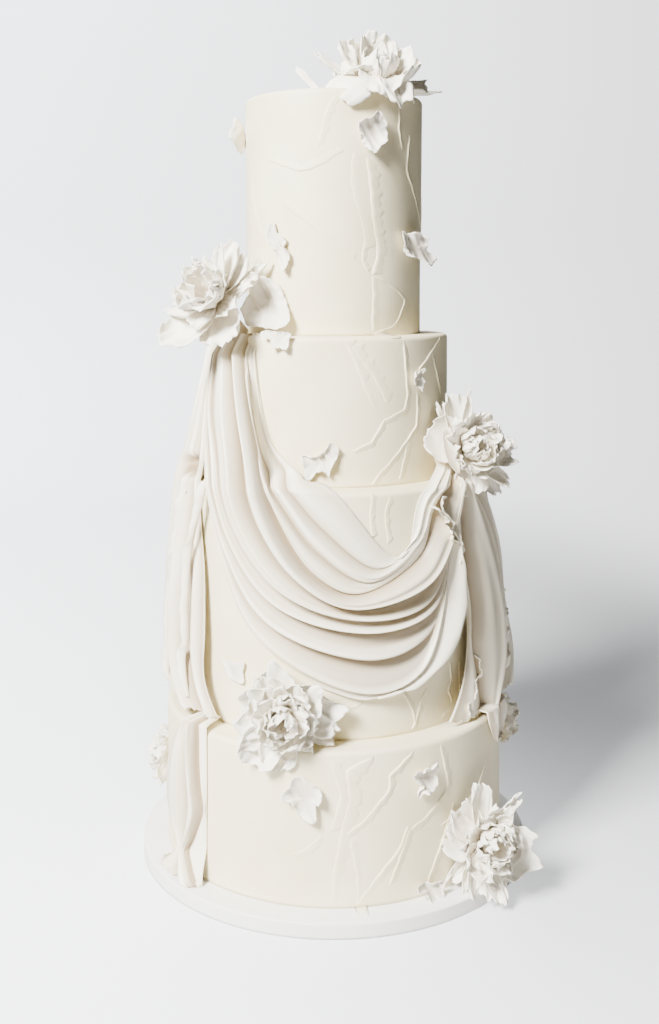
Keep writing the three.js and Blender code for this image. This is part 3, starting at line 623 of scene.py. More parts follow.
SAG = (-0.25, -0.2, 0.15, 0.3, 0.3)
SWAG = dict(
    reach=swag_reach, crease=0.75, tear=0.0, hem=1.8, seed=31, tuck=10.0,
    valleys=[
        ([-40, -36.5, -30, -13, 0, 19, 28, 33.5, 53],
         [474, 423, 386, 359.5, 352, 300, 302, 345, 366], [3, 2, 1, 2, 2]),
        ([-42, -37.5, -31, -17, -4, 15, 29.5, 36, 54],
         [474, 422, 382, 352, 320, 287, 307, 345, 364], [2, 1, 1, 4, 6]),
        ([-44, -38, -31, -19, -5.5, 12.5, 31, 38, 55],
         [474, 421, 380, 338, 300, 276, 303, 341, 362], [2, 1, 2, 5, 7]),
        ([-46, -36.3, -29, -20, -7, 10, 33, 40, 55.5],
         [474, 420, 382, 328, 283, 267, 295, 335, 358], [3, 2, 3, 2, 0.5]),
        ([-51, -43.5, -36.5, -28.5, -13, 6, 31, 44.2, 54.5],
         [473, 421, 380, 326, 280, 257, 270, 302, 354], [3, 2, 2, 1, 3]),
        ([-62, -57, -47, -36.5, -17.5, 8, 32, 44, 53],
         [472, 420, 378, 318, 269, 248, 253, 286, 350], [7, 7, 4, 2, 3]),
        ([-66, -60, -51, -39.5, -20.5, 9, 33, 43.5, 52],
         [471, 418, 370, 305, 256, 236, 244, 272, 344], [7, 7, 4, 2, 3]),
        ([-69.5, -62.5, -54, -42, -24, 8, 30, 42, 51],
         [470, 417, 362, 294, 240, 214, 222, 252, 336], [3, 3, 2, 1, 3]),
        ([-73.5, -64, -55.5, -44, -27.5, 8, 30.5, 41.3, 48],
         [468.5, 415.5, 353, 281.5, 226, 186, 198, 255, 318], [3, 2, 2, 3, 4, 8, 6]),
        ([-75, -65, -56, -44.5, -28, 9, 38, 48.5, 48.5],
         [468, 415, 352, 280, 224, 179, 198, 245, 306], [2, 2, 2, 2, 2, 12, 20, 14]),
    ],
    folds=[
        fold([1, 0.6, 2.5, 2, 0, 0], over=SAG), fold([1, 0.5, 5, 4, 0, 0], over=SAG),
        fold([0.5, 3, 7, 6, 1, 0, 0], over=SAG), fold([10, 16, 17, 15, 8], [1, 1, 1.3, 1.6, 1.4], SAG),
        fold([10, 15, 14, 9, 3], [1, 1.1, 1.5, 2.2, 2], SAG),
        fold([5, 7, 8, 9, 3], [1, 1.2, 1.6, 1.6, 1.3], SAG),
        fold([5, 7, 7, 8, 2], [1, 1.2, 1.6, 1.7, 1.3], SAG),
        fold([4, 5, 6, 6, 1], [1, 1.3, 1.8, 2, 1.5], SAG),
        fold([3, 2, 1, 0.5, 0.5, 0.5, 0.5]),
    ],
)


PINCH_DEPTH, PINCH_HEIGHT, PINCH_REACH = 19, 360, 6.5


def left_pinch(z, v):
    """A band that draws the left fall's middle in, just above the ledge."""
    band = PINCH_DEPTH * np.exp(-((z - PINCH_HEIGHT) / PINCH_REACH) ** 2)
    return band * smooth(v, 0.1, 0.22) * (1 - smooth(v, 0.5, 0.62))


LEFT_FALL_Z = [474, 430, 394, 374, 357, 322, 272, 222, 182, 151]
LEFT_FALL = dict(
    reach=lambda z, u, v: taut(z) + flare(z), crease=1.0, tear=1.2, hem=2.2, seed=32, tuck=10.0,
    pinch=left_pinch,
    valleys=[
        ([-77, -70, -64.5, -61.5, -62, -61.5, -56, -53.5, -52.5, -44], LEFT_FALL_Z, [2, 2, 3]),
        ([-79, -73, -68, -66, -66, -64.5, -63.5, -66, -60, -51], LEFT_FALL_Z, [1, 1, 2, 2, 3]),
        ([-83, -80, -76, -74, -72, -70, -74, -76, -78, -66], LEFT_FALL_Z, [2, 2, 3, 4, 3]),
        ([-89, -88, -89, -89, -90, -92, -94, -95, -94, -92], LEFT_FALL_Z, [3, 3, 4, 4]),
        ([-97, -98, -101, -103, -105, -108, -112, -115, -115, -113], LEFT_FALL_Z, (2, 2)),
    ],
    folds=[
        fold([3, 4, 3, 3, 4, 4, 4], over=(0.15, 0.15)),
        fold([5, 6, 8, 10, 14, 14, 9], [1.2, 1.2], (0.25, 0.25)),
        fold([6, 7, 9, 12, 16, 16, 11], over=(0.25, 0.25)),
        fold([4, 5, 6, 9, 11, 12, 7], [1.2, 1.2]),
    ],
)

RIGHT_FALL = dict(
    reach=lambda z, u, v: gathered(z) + flare(z), crease=0.8, tear=1.6, hem=2.6, seed=33,
    valleys=[
        ([58, 54.5, 53, 53.5, 55.5, 56.7, 56, 52, 43],
         [362, 350, 335, 300, 266, 242, 212, 180, 147], [2, 2, 2, 4]),
        ([60, 56.5, 55, 55.5, 57, 58, 56.8, 59.5, 62],
         [362, 350, 335, 302, 268, 242, 212, 184, 146], [2, 2, 2, 3, 5]),
        ([64, 62, 64, 72, 77, 79, 80, 77, 68],
         [362, 350, 334, 309, 277, 240, 206, 176, 147], [2, 5, 9, 12, 12, 12, 10]),
        ([70, 72, 76, 84, 92, 97, 99, 97, 90],
         [362, 350, 330, 300, 268, 236, 206, 180, 158], [3, 5, 8, 11, 13, 14, 19, 23, 22]),
        ([78, 80, 84, 93, 101, 106, 108, 107, 104],
         [362, 350, 322, 292, 262, 232, 212, 200, 192], (2, 2)),
    ],
    folds=[
        fold([1, 1, 1, 2, 3, 3, 5], over=(0.2, 0.2)),
        fold([3, 6, 10, 14, 16, 14, 10], [0.9, 0.9], (0.12, 0.12)),
        fold([3, 4, 6, 9, 11, 12, 10], over=(0.2, 0.2)),
        fold([3, 5, 7, 9, 10, 8], [1.1, 1.1]),
    ],
)

LEFT_TAIL_Z = [149.5, 147, 138, 118, 96, 74, 50, 36, 24, 14]
LEFT_TAIL = dict(
    reach=over_the_rim, crease=1.2, tear=0.8, hem=0.9, seed=34, heap=0.5,
    valleys=[
        ([-46, -43.5, -43.5, -43.5, -43.5, -43.6, -43.8, -43.8, -43.2, -42.5], LEFT_TAIL_Z, [1.5, 1.5]),
        ([-48, -47, -46.5, -46.2, -45.3, -44.2, -48.3, -51, -47, -43], LEFT_TAIL_Z, [2, 3, 4, 3, 4]),
        ([-51, -51, -51, -51.5, -51.5, -51.5, -52.5, -53.5, -52.5, -51], LEFT_TAIL_Z, [2, 3, 4, 4]),
        ([-53, -55, -58, -64, -68, -69.5, -66, -57.5, -60, -66], LEFT_TAIL_Z, [2, 3, 3, 2]),
    ],
    folds=[
        fold([2, 1, 0.5, 0.5, 0.5, 0.5]), fold([6, 9, 10, 9, 7, 9], [1.7, 1.7], (-0.25, -0.25)),
        fold([4, 5, 6, 5, 4, 7], [0.8, 0.8], (0.1, 0.1)),
    ],
)

RIGHT_TAIL_Z = [149.5, 147, 138, 128, 119]
RIGHT_TAIL = dict(
    reach=over_the_rim, crease=0.5, tear=1.2, hem=0.8, seed=35, heap=0.5,
    valleys=[
        ([58, 58, 59, 61, 63], RIGHT_TAIL_Z, [2, 3, 4]),
        ([67, 67, 66, 66, 65], RIGHT_TAIL_Z, [3, 3, 3]),
        ([76, 77, 78, 76, 68], [149.5, 147, 142, 134, 122], [2, 3, 4]),
    ],
    folds=[fold([4, 5, 3]), fold([4, 5, 3])],
)

# %% Drapes
DRAPES = {
    "drape_swag": (SWAG, 210, 19),
    "drape_left_fall": (LEFT_FALL, 160, 26),
    "drape_right_fall": (RIGHT_FALL, 160, 26),
    "drape_left_tail": (LEFT_TAIL, 90, 26),
    "drape_right_tail": (RIGHT_TAIL, 40, 20),
}
FRILLS = {
    "drape_swag": [
        ([37.7, 40.1, 42.1, 43.7, 44.3, 46.5, 48.9], [335, 330, 324, 317, 310, 304, 302],
         (137, 137), 9, -2.2),
        ([44.2, 41.1, 41.6, 43.7, 47.1, 47.6, 50.1, 51, 51.4, 50.8, 50.5],
         [341, 338, 332, 324, 317, 310, 301, 294, 286, 279, 272], (137, 137), 8, -2.2),
    ],
    "drape_left_fall": [
        ([-53, -55, -58.5, -60.5, -61.5, -61, -62.5, -59.5], [350, 331, 308, 281, 245, 210, 188, 160],
         (137, 145, 148), 5, -2),
        ([-68, -72, -74.5, -79, -82, -81, -80], [338, 311, 281, 245, 210, 180, 158],
         (141, 150, 154), 6, -3),
    ],
    "drape_right_fall": [
        ([62, 63, 60, 56, 54], [196, 184, 172, 160, 148], (142, 143), 6, -3),
        ([80, 86, 88, 84, 78], [245, 225, 205, 185, 166], (151, 158, 156), 7, 3),
    ],
}


FRILL_THICKNESS = 0.9


def frill(phi, z, base, width, side, rows=90, columns=9):
    """A torn edge of the sheet that stands up along a line: at b from its foot, on the folds, to its
    rim, the radius grows by width * b and the angle by side * b^2, and the rim waves by two sines."""
    a = np.linspace(0, 1, rows)[:, None]
    b = np.linspace(0, 1, columns)[None, :]
    wave = np.sin(17 * a) + 0.5 * np.sin(31 * a + 1)
    torn = 1 + 0.15 * np.sin(23 * a) + 0.08 * np.sin(77 * a)
    out = width * b * torn * smooth(np.minimum(a, 1 - a), -0.05, 0.12)
    height = through(z, a) + 1.6 * wave * b**1.5
    turn = through(phi, a) - 1.1 * wave * b + side * b**2
    front = polar(turn, through(base, a) + out, height)
    points, faces = shell(front, front - normals(front) * FRILL_THICKNESS)
    # Painted shade, darkest at the frill's foot and fading towards its rim.
    return points, faces, both_faces(0.6 * (1 - b) ** 2 + 0 * a)


for name, (spec, rows, per_fold) in DRAPES.items():
    parts = [drape_shell(spec, rows, per_fold)] + [frill(*line) for line in FRILLS.get(name, [])]
    points, faces = joined([part[:2] for part in parts])
    painted_shade = np.concatenate([part[2] for part in parts])
    make_piece(name + "_cloth", points, faces, drapery, "drapery", name, depth=painted_shade)

# %% [markdown]
# ## Petals
#
# A petal is a thin sheet between a root and a tip. It is narrow at the root, broad past the middle and
# blunt at the tip, cupped across and bowed along, with pleats that fan out from the root and an edge
# that is torn and ruffled. One function makes every petal of every flower.

# %% Petal surface
PETAL_ROWS, PETAL_COLUMNS = 26, 25
PETAL_MIDDLE, PETAL_EDGE = 1.3, 0.5
NARROW = 0.16


def petal_sheet(root, tip, look, width, cup, bow, curl, pleat, ruffle, notch, broad, wave):
    """At s from root to tip and t across, from -1 to 1, with half the width
    h(s) = width / 2 * (0.16 + 0.84 sin(pi / 2 * min(1, s / broad))) * (a quarter circle past broad):
    the point lies h sin(cup t) / cup to the side, h (1 - cos(cup t)) / cup towards the look side, and
    length * (4 bow s (1 - s) + curl s^3) away from it. Broad and fine pleats fan out from the root,
    the rim waves by ruffle, and notch pulls the tip's line back between a few pointed corners."""
    s = np.linspace(0, 1, PETAL_ROWS)[:, None]
    t = np.linspace(-1, 1, PETAL_COLUMNS)[None, :]
    root, tip, look = (np.asarray(v, dtype=float) for v in (root, tip, look))
    length = np.linalg.norm(tip - root)
    along = (tip - root) / length
    face = unit(look - along * (look @ along))
    side = np.cross(face, along)
    torn = 0.06 * np.sin(4 * t + wave) + 0.02 * np.sin(13 * t + 3 * wave)
    torn += 0.012 * np.sin(29 * t + 7 * wave)
    corners = np.abs(np.sin(2.3 * t + 1.7 * wave)) - 0.3
    run = s * (1 - 0.12 * t**2 + torn - notch * corners * s)
    opening = NARROW + (1 - NARROW) * np.sin(np.pi / 2 * np.minimum(1, s / broad))
    closing = np.sqrt(1 - (np.maximum(0, s - broad) / (1 + NARROW - broad)) ** 2)
    ragged = 1 + 0.03 * t * (np.sin(15 * s + 2 * wave) + 0.6 * np.sin(31 * s + 5 * wave))
    half = width / 2 * opening * closing * ragged
    sideways = half * np.sin(cup * t) / cup
    cupped = half * (1 - np.cos(cup * t)) / cup
    arched = length * (4 * bow * s * (1 - s) + curl * s**3)
    pleats = np.sin(3.5 * t + wave + 1.5 * s) + 0.6 * np.sin(8 * t - 2 * wave - 2 * s)
    pleats += 0.45 * np.sin(17 * t + 3 * wave)
    pleats += 0.8 * np.sin(6 * s + 2 * t + 3 * wave) * np.sin(3 * t - 4 * s + wave)
    rim = smooth(np.maximum(s, np.abs(t)), 0.4, 1.05) ** 2
    waves = ruffle * rim * (np.sin(6 * t + 7 * s + wave) + 0.35 * np.sin(13 * t + 15 * s + 2 * wave))
    depth = cupped - arched + pleat * s**0.6 * pleats + waves
    sheet = root + along * (length * run)[..., None] + side * sideways[..., None]
    sheet += face * depth[..., None]
    thickness = lerp(PETAL_MIDDLE, PETAL_EDGE, np.maximum(s**3, np.abs(t) ** 3))
    # Painted shade, darker towards the root and in the valleys of the pleats.
    painted_shade = (1 - smooth(s, 0, 0.75)) * 0.8 + 0.3 * smooth(-pleats * pleat, 0, 3)
    return sheet, thickness, painted_shade.clip(0, 1)


def petal_shell(**petal):
    """The petal's sheet, and its back face a thickness below it along the normal."""
    sheet, thickness, painted_shade = petal_sheet(**petal)
    points, faces = shell(sheet, sheet - normals(sheet) * thickness[..., None])
    return points, faces, both_faces(painted_shade)


# %% [markdown]
# ## Flowers
#
# A flower is a heart with petals round it. The petals that give a flower its outline are listed one by
# one with their tips, in millimetres to the right of the heart, up from it and out from it, and the
# crumpled ones inside follow in rings by a rule. The flower faces along `face`.

# %% Flower builder
PLAIN_PETAL = dict(
    root=(0, 0, 0), cup=0.6, bow=0.1, curl=0.05, pleat=0.9, ruffle=1.6, notch=0.1, broad=0.72,
)
RING_PETAL = dict(cup=0.9, bow=0.18, pleat=1.3, ruffle=2.2, notch=0.08)
RING_CURL = (-0.15, 0.35)
DAB_RADIUS = 11


def flower_frame(turn):
    """Right, up and out as rows, for a flower at an angle round the cake."""
    phi = math.radians(turn)
    return np.array([(math.cos(phi), math.sin(phi), 0), (0, 0, 1), (math.sin(phi), -math.cos(phi), 0)])


def ring_petals(face, draw, count, radius, depth, width, more={}):
    """Petals whose tips stand about evenly round the face direction, at a radius from it and a depth
    along it."""
    face = unit(np.asarray(face, dtype=float))
    across = unit(np.cross(face, (0.3, 1.0, 0.2)))
    upward = np.cross(across, face)
    start = 360 * next(draw)
    petals = []
    for i in range(count):
        turn = math.radians(start + 360 * (i + 0.5 * (next(draw) - 0.5)) / count)
        ray = across * math.cos(turn) + upward * math.sin(turn)
        out, away, size = (0.85 + 0.3 * next(draw) for k in range(3))
        settings = dict(tip=face * depth * out + ray * radius * away, width=width * size)
        settings["curl"] = lerp(*RING_CURL, next(draw))
        petals.append({**RING_PETAL, **more, **settings})
    return petals


def dab(foot, heart, radius, rows=7, around=20):
    """The knob of icing that carries a flower: radius * (1 - 0.5 a) at a of the way to the heart."""
    foot, heart = np.asarray(foot, dtype=float), np.asarray(heart, dtype=float)
    way = unit(heart - foot)
    across = unit(np.cross(way, (0.2, 0.1, 1.0)))
    upward = np.cross(way, across)
    a = np.linspace(0, 1, rows)[:, None]
    turn = np.linspace(0, 2 * np.pi, around, endpoint=False)[None, :]
    ring = radius * (1 - 0.5 * a) * smooth(1.04 - a, 0, 0.05)
    ray = np.cos(turn)[..., None] * across + np.sin(turn)[..., None] * upward
    points = foot + way * (np.linalg.norm(heart - foot) * a)[..., None] + ray * ring[..., None]
    return capped(points.reshape(-1, 3), grid_faces(rows, around, True), around)


def flower(name, heart, foot, turn, face, petals, rings, seed):
    """All petals of a flower as one piece. heart and foot are places on the cake, in millimetres, and
    a petal is its tip to the right, up and out, its width, and what isn't as in PLAIN_PETAL."""
    draw = draws(seed)
    everything = [dict(tip=row[:3], width=row[3], **dict(*row[4:])) for row in petals]
    for ring in rings:
        everything += ring_petals(face, draw, *ring)
    axes = flower_frame(turn)
    parts = [dab(foot, heart, DAB_RADIUS)]
    # The dab of icing is painted all over with the shade tone, and each petal brings its own painted
    # shade.
    painted_shades = [np.ones(len(parts[0][0]))]
    for extra in everything:
        settings = {**PLAIN_PETAL, "look": face, "wave": 6.3 * next(draw), **extra}
        points, faces, painted_shade = petal_shell(**settings)
        parts.append((points @ axes + np.asarray(heart, dtype=float), faces))
        painted_shades.append(painted_shade)
    points, faces = joined(parts)
    make_piece(name + "_petals", points, faces, sugar, "sugar", name, depth=np.concatenate(painted_shades))


# %% Front flowers
SMOOTH = dict(pleat=0.35, ruffle=0.9, notch=0.05)
THIN = dict(pleat=0.3, ruffle=0.6, notch=0.02, broad=0.5)

flower(
    "flower_top", (35, -52, 696), (33, -46, 688), 0, (0.15, 0.85, 0.5),
    [
        (-50, 28, 5, 18, THIN), (-30, 36, 8, 30), (-19, 36, 14, 26, dict(pleat=1.2, notch=0.04)),
        (-18, 40, -12, 20), (-4, 44, 6, 32, dict(cup=1.0, notch=0.02, pleat=0.7)),
        (12, 43, 2, 26, dict(pleat=1.5)), (20, 38, -14, 24),
        (34, 31, 4, 38, dict(pleat=1.4, notch=0.16)), (39, 21, -6, 26, dict(notch=0.15)),
        (43, 5, 12, 30, dict(curl=-0.25)), (56, -4, -2, 26, dict(cup=1.1)),
        (26, -22, 28, 32, dict(bow=-0.22, pleat=1.2)), (-28, 12, 14, 34, dict(bow=-0.25, cup=0.9)),
        (-33, -12, 28, 46, dict(bow=-0.22, cup=-0.5, **SMOOTH)),
        (6, -13, 34, 42, dict(bow=-0.25, notch=0.04)), (-10, 30, -30, 32), (14, 26, -32, 32),
        (-34, 16, -24, 32), (36, 10, -28, 32),
    ],
    [(6, 16, 30, 26), (4, 7, 28, 20)], 3,
)
flower(
    "flower_left", (-103, -74, 508), (-84, -60, 476), 0, (-0.45, 0.55, 0.7),
    [
        (4, 47, 2, 13, THIN), (15, 54, -6, 32, dict(cup=0.9, notch=0.15)), (27, 41, 0, 22),
        (44, 35, -8, 12, THIN), (38, 24, 6, 18), (34, 17, 14, 14), (-22, 30, 14, 26), (-10, 35, 4, 28),
        (10, 19, 24, 26), (-8, 5, 34, 38), (-34, 1, 14, 36), (-16, -7, 30, 42, dict(bow=-0.1)),
        (-40, -10, 2, 24), (-38, -43, 12, 46, dict(curl=-0.1)), (-19, -15, 24, 26, dict(curl=0.3)),
        (15, -40, 20, 48, dict(cup=1.0, curl=-0.15)), (16, -8, 30, 26),
    ],
    [(7, 20, 30, 25), (5, 10, 34, 18)], 5,
)
flower(
    "flower_right", (117, -66, 376), (94, -53, 366), 0, (0.35, 0.25, 0.9),
    [
        (-37, 17, 10, 48, dict(cup=1.0, **SMOOTH)), (-20, 22, 20, 14, dict(root=(-9, -18, 14), **THIN)),
        (-14, 52, -4, 30, dict(cup=0.8, notch=0.16)), (-25, 42, 0, 14), (2, 52, 4, 9, THIN),
        (0, 32, 24, 28, dict(cup=-0.8)), (22, 32, 4, 30), (33, 13, 8, 38), (40, 9, -4, 28),
        (25, -4, 22, 34), (17, -19, 20, 32), (44, -4, 0, 28, dict(cup=1.0)),
        (38, -30, 8, 15, dict(cup=1.2)), (4, -39, 10, 34), (33, -43, -16, 18),
    ],
    [(7, 18, 26, 26), (5, 8, 28, 20)], 8,
)
flower(
    "flower_front", (-40, -145, 167), (-34, -122, 160), 0, (-0.05, 0.1, 1.0),
    [
        (-13, 45, 2, 34), (-20, 35, 5, 26), (9, 30, 10, 34), (28, 27, 8, 36),
        (49, 4, 0, 40, dict(notch=0.2, pleat=1.4)), (43, -14, 0, 26), (-40, 8, 4, 44), (-29, 23, 8, 32),
        (-32, -36, 8, 42, dict(cup=1.0)), (-8, -42, 10, 34), (14, -36, 8, 30), (22, -16, 14, 36),
        (-40, -14, 6, 34),
    ],
    [(7, 25, 18, 32, dict(cup=0.7)), (6, 16, 24, 26), (3, 7, 28, 22, dict(cup=1.3))], 11,
)
flower(
    "flower_base_right", (127, -120, 49), (110, -104, 45), 0, (0.35, 0.25, 0.9),
    [
        (-3, 54, 0, 24, dict(cup=1.2)), (33, 41, -6, 14, dict(cup=1.3)), (18, 34, 4, 26),
        (-24, 34, 4, 32), (-31, 22, 8, 26), (-36, 10, 6, 36), (31, 10, 0, 44, dict(ruffle=2.6)),
        (47, -13, 0, 46, dict(notch=0.14, pleat=0.6)), (27, -32, 2, 32), (14, -30, 12, 30),
        (-17, -36, 12, 20), (-31, -31, 6, 14), (15, -43, 22, 17), (-4, -40, 16, 30, dict(pleat=1.2)),
        (3, -20, 24, 20, dict(root=(-14, -2, 14))),
    ],
    [(7, 22, 18, 30, dict(cup=0.7)), (6, 13, 28, 26), (3, 6, 30, 20, dict(cup=1.2))], 14,
)

# %% Back flowers
BACK_RINGS = [(7, 26, 9, 30, dict(cup=0.6)), (6, 17, 18, 24), (4, 7, 22, 18)]
flower("flower_back_left", (-158, 34, 66), (-145, 33, 64), -102, (0, 0.1, 1), [], BACK_RINGS, 17)
flower("flower_back_right", (158, 34, 102), (145, 33, 100), 102, (0, 0.1, 1), [], BACK_RINGS, 21)

# %% [markdown]
# ## Loose petals
#
# Single torn petals are stuck on the walls with a dab of icing. Each is drawn by the corners of its
# own outline, in millimetres to the right of its middle and up from it. The sheet runs from the middle
# to that outline, lifts off the wall towards the rim, and is crumpled by a few folds on the way.

# %% Loose petal surface
def torn_petal(corners, lift, tilt, fold, wave, rows=13, around=120):
    """At s from the middle to the rim and turn round it: right and up are s * rim(turn), and out is
    lift * s^2 * (0.7 + 0.3 sin(2 turn)) + tilt . (right, up) + folds that run across the petal, with
    a lip that waves at the rim."""
    s = np.linspace(0.02, 1, rows)[:, None]
    rim = round_through(corners, around)
    turn = np.arctan2(rim[:, 1], rim[:, 0])[None, :]
    edge = 0.35 * np.sin(23 * turn + 3 * wave) + 0.25 * np.sin(41 * turn + wave)
    right = s * rim[None, :, 0] + edge * s**6 * np.cos(turn)
    up = s * rim[None, :, 1] + edge * s**6 * np.sin(turn)
    folds = np.sin(0.4 * right + 0.2 * up + wave) + 0.5 * np.sin(0.8 * right + 0.5 * up + 2 * wave)
    lip = s**5 * (0.9 * np.sin(5 * turn + wave) + 0.5 * np.sin(11 * turn + 2 * wave)) + 0.9 * s**12
    out = lift * s**2 * (0.7 + 0.3 * np.sin(2 * turn + wave)) + tilt[0] * right + tilt[1] * up
    out = out + fold * folds * s**0.5 + lip * fold
    front = np.stack([right, up, out], axis=-1)
    ring = np.concatenate([front[:, -1:], front, front[:, :1]], axis=1)
    facing = normals(ring)[:, 1:-1]
    facing = facing * np.sign(facing[rows // 2, 0, 2])
    thickness = lerp(PETAL_MIDDLE, PETAL_EDGE, s**3)
    back = front - facing * thickness[..., None]
    # Painted shade, darker towards the middle and in the valleys of the folds.
    painted_shade = 0.5 * (1 - s) + 0.25 * smooth(-folds, 0, 1.5)
    points = np.concatenate([front, back[::-1]]).reshape(-1, 3)
    depth = np.concatenate([painted_shade, painted_shade[::-1]]).ravel().clip(0, 1)
    return *capped(points, grid_faces(2 * rows, around, True), around), depth


# %% Loose petals
BROAD = [(-9, 17), (-2, 17), (5, 14), (11, 11), (15, 5), (14, -1), (10, -4), (10, -10), (10, -18),
    (3, -18), (-4, -15), (-7, -9), (-10, -3), (-16, -2), (-18, 2), (-14, 7), (-11, 10)]
SPIKED = [(8, 15), (14, 10), (14, 4), (10, -3), (7, -10), (6, -14), (3, -10), (-4, -10), (-9, -16),
    (-13, -17), (-14, -11), (-16, -4), (-17, 3), (-9, 2), (-2, 4), (4, 9)]
CUPPED = [(5, 19), (10, 15), (14, 6), (12, -5), (6, -12), (1, -17), (-4, -14), (-7, -10), (-10, -3),
    (-13, 6), (-9, 11), (-2, 13)]
SHRED = [(-7, 23), (-5, 15), (1, 10), (7, 7), (6, 0), (10, -4), (12, -10), (10, -14), (8, -21),
    (2, -16), (-2, -10), (-3, -4), (-6, 2), (-11, 8), (-10, 15)]
FLAG = [(-18, 13), (-13, 11), (-3, 13), (8, 10), (11, 8), (12, -2), (19, -6), (22, -10), (19, -15),
    (15, -16), (9, -14), (3, -10), (-11, -8), (-14, -5), (-17, 2)]
SHIELD = [(-9, 21), (0, 21), (9, 14), (15, 2), (22, -13), (13, -19), (-1, -17), (-15, -16), (-20, -5),
    (-16, 9)]
SCRAP = [(-13, 7), (-2, 6), (11, 5), (10, -1), (9, -8), (2, -7), (-5, -7), (-8, 0), (-16, 3)]
NICKED = [(9, 12), (9, 4), (8, -4), (6, -10), (1, -11), (-5, -11), (-8, -14), (-10, -12), (-6, -7),
    (-5, -4), (-10, -1), (-14, 5), (-10, 9), (-6, 7), (-2, 10), (2, 8), (6, 10)]
FLAT = [(-13, 6), (-5, 6), (3, 6), (8, 10), (13, 8), (11, 0), (12, -8), (8, -10), (-2, -9), (-6, -6),
    (-10, 0)]
CHIP = [(-5, 8), (-3, 5), (4, 8), (7, 10), (5, 2), (6, -3), (4, -10), (1, -7), (-4, -4), (-6, 1)]
BLADE = [(-13, 13), (-8, 11), (0, 4), (8, -5), (14, -12), (9, -12), (2, -6), (-6, 2), (-12, 8)]

DAB = 1.6


def stuck(phi, z, shape, lift, radius=None, swing=0, size=1.0, tilt=(0, 0), fold=0.8, away=0):
    """How a petal is stuck on: at an angle and a height, on the wall unless it has its own radius, a
    dab of icing and away further out, and turned by swing from facing straight out."""
    out = (float(wall_radius(z)) if radius is None else radius) + DAB + away
    petal = dict(corners=np.array(shape) * size, lift=lift, tilt=tilt, fold=fold)
    return petal, flower_frame(phi + swing), polar(phi, out, z)


LOOSE_PETALS = {
    "petal_top": stuck(-31, 702, BLADE, 1, radius=42, fold=0.4),
    "petal_tier_4_side": stuck(-88, 657, CUPPED, 9, tilt=(0.25, 0.1), size=0.9),
    "petal_tier_4_middle": stuck(22.5, 650, CUPPED, 6, tilt=(0.12, 0), fold=1.4),
    "petal_tier_4_right": stuck(57, 554, FLAG, 3, swing=-17, tilt=(0.05, 0), away=5, fold=1.3),
    "petal_tier_4_torn": stuck(-34.5, 553.5, SHRED, 5, fold=1.5),
    "petal_ledge_left": stuck(-41, 504, SHIELD, 9, swing=10, size=1.1, tilt=(-0.2, -0.25), away=4,
        fold=1.3),
    "petal_tier_3_rim": stuck(-25.5, 475, SCRAP, 2, tilt=(0, -0.15), away=1.5, fold=0.9),
    "petal_tier_3_right": stuck(42.5, 439, CHIP, 3),
    "petal_tier_3_front": stuck(-5.4, 374, SPIKED, 4, tilt=(0.05, 0), fold=1.0),
    "petal_tier_2_flat": stuck(-40, 193, FLAT, 0.8, fold=0.25),
    "petal_tier_1_front": stuck(-8.8, 105.5, BROAD, 5, fold=1.3),
    "petal_tier_1_right": stuck(29, 114.5, NICKED, 6, fold=1.1),
    "petal_tier_1_foot": stuck(30.5, 20, SCRAP, 5, tilt=(0, -0.4), away=3, fold=1.0),
    "petal_tier_1_back": stuck(158, 96, BROAD, 5),
    "petal_tier_2_back": stuck(-160, 262, CUPPED, 6),
    "petal_tier_3_back": stuck(148, 415, SPIKED, 4),
    "petal_tier_4_back": stuck(-170, 600, NICKED, 5, size=1.3),
}

for number, (name, (petal, axes, place)) in enumerate(LOOSE_PETALS.items()):
    points, faces, depth = torn_petal(**petal, wave=2.1 * number)
    points = points @ axes + place
    make_piece(name + "_paste", points, outward(points, faces), sugar, "sugar", name, depth=depth)

# %% [markdown]
# ## Floor, backdrop and light
#
# A pale floor runs out and bends up into a plain wall all round, so that the cake can be seen from any
# side. The wall glows as painted light, and is darker to the right and near the cake as painted shade.
# The light is a large soft one from the front left, as from a window, with a weak fill, and a
# fainter one behind, so that the back can be seen too.

# %% Stage
STAGE_AROUND = 96
SPAN = 0.9
SHADE_MIDDLE = (0.3, 0.3, 0.0)
SHADE_SPREAD = (1, 0.5, 0.7)
SHADE_REACH = (0.1, 0.65)
GLOW = (0.1, 3.2)


def stage_finish(name, left, right):
    """A matt wall that glows as painted light, in a tone that runs slowly from the left colour to the
    darker right one, which paints the light falling off to the right. The glow fades near a point on
    the floor behind the cake to the right, which paints shade there and lets the cake's own shadow
    show."""
    material, tree, shader, place = new_finish(name)
    sideways = add_node(tree, "SeparateXYZ", {"Vector": place}).outputs["X"]
    span = add_node(tree, "MapRange", {"Value": sideways, "From Min": -SPAN, "From Max": SPAN})
    tone = two_tones(tree, span.outputs["Result"], left, right)
    spread = add_node(tree, "Mapping", {"Vector": place, "Scale": SHADE_SPREAD}).outputs["Vector"]
    away = add_node(tree, "VectorMath", {0: spread, 1: SHADE_MIDDLE}, operation="DISTANCE")
    limits = dict(zip(("From Min", "From Max", "To Min", "To Max"), SHADE_REACH + GLOW))
    glow = add_node(
        tree, "MapRange", {"Value": away.outputs["Value"], **limits}, interpolation_type="SMOOTHSTEP",
    )
    # The tone is also the wall's glow, painted light, which dims towards SHADE_MIDDLE as painted shade.
    fill(tree, shader, {
        "Base Color": tone, "Emission Color": tone, "Emission Strength": glow.outputs["Result"],
        "Roughness": 0.9,
    })
    return material


def turned_over(radius, height):
    """An outline carried round the axis, with its upper side as its front."""
    points, faces = turned(np.stack([radius, height], axis=1), STAGE_AROUND)
    return points, faces[:, ::-1]


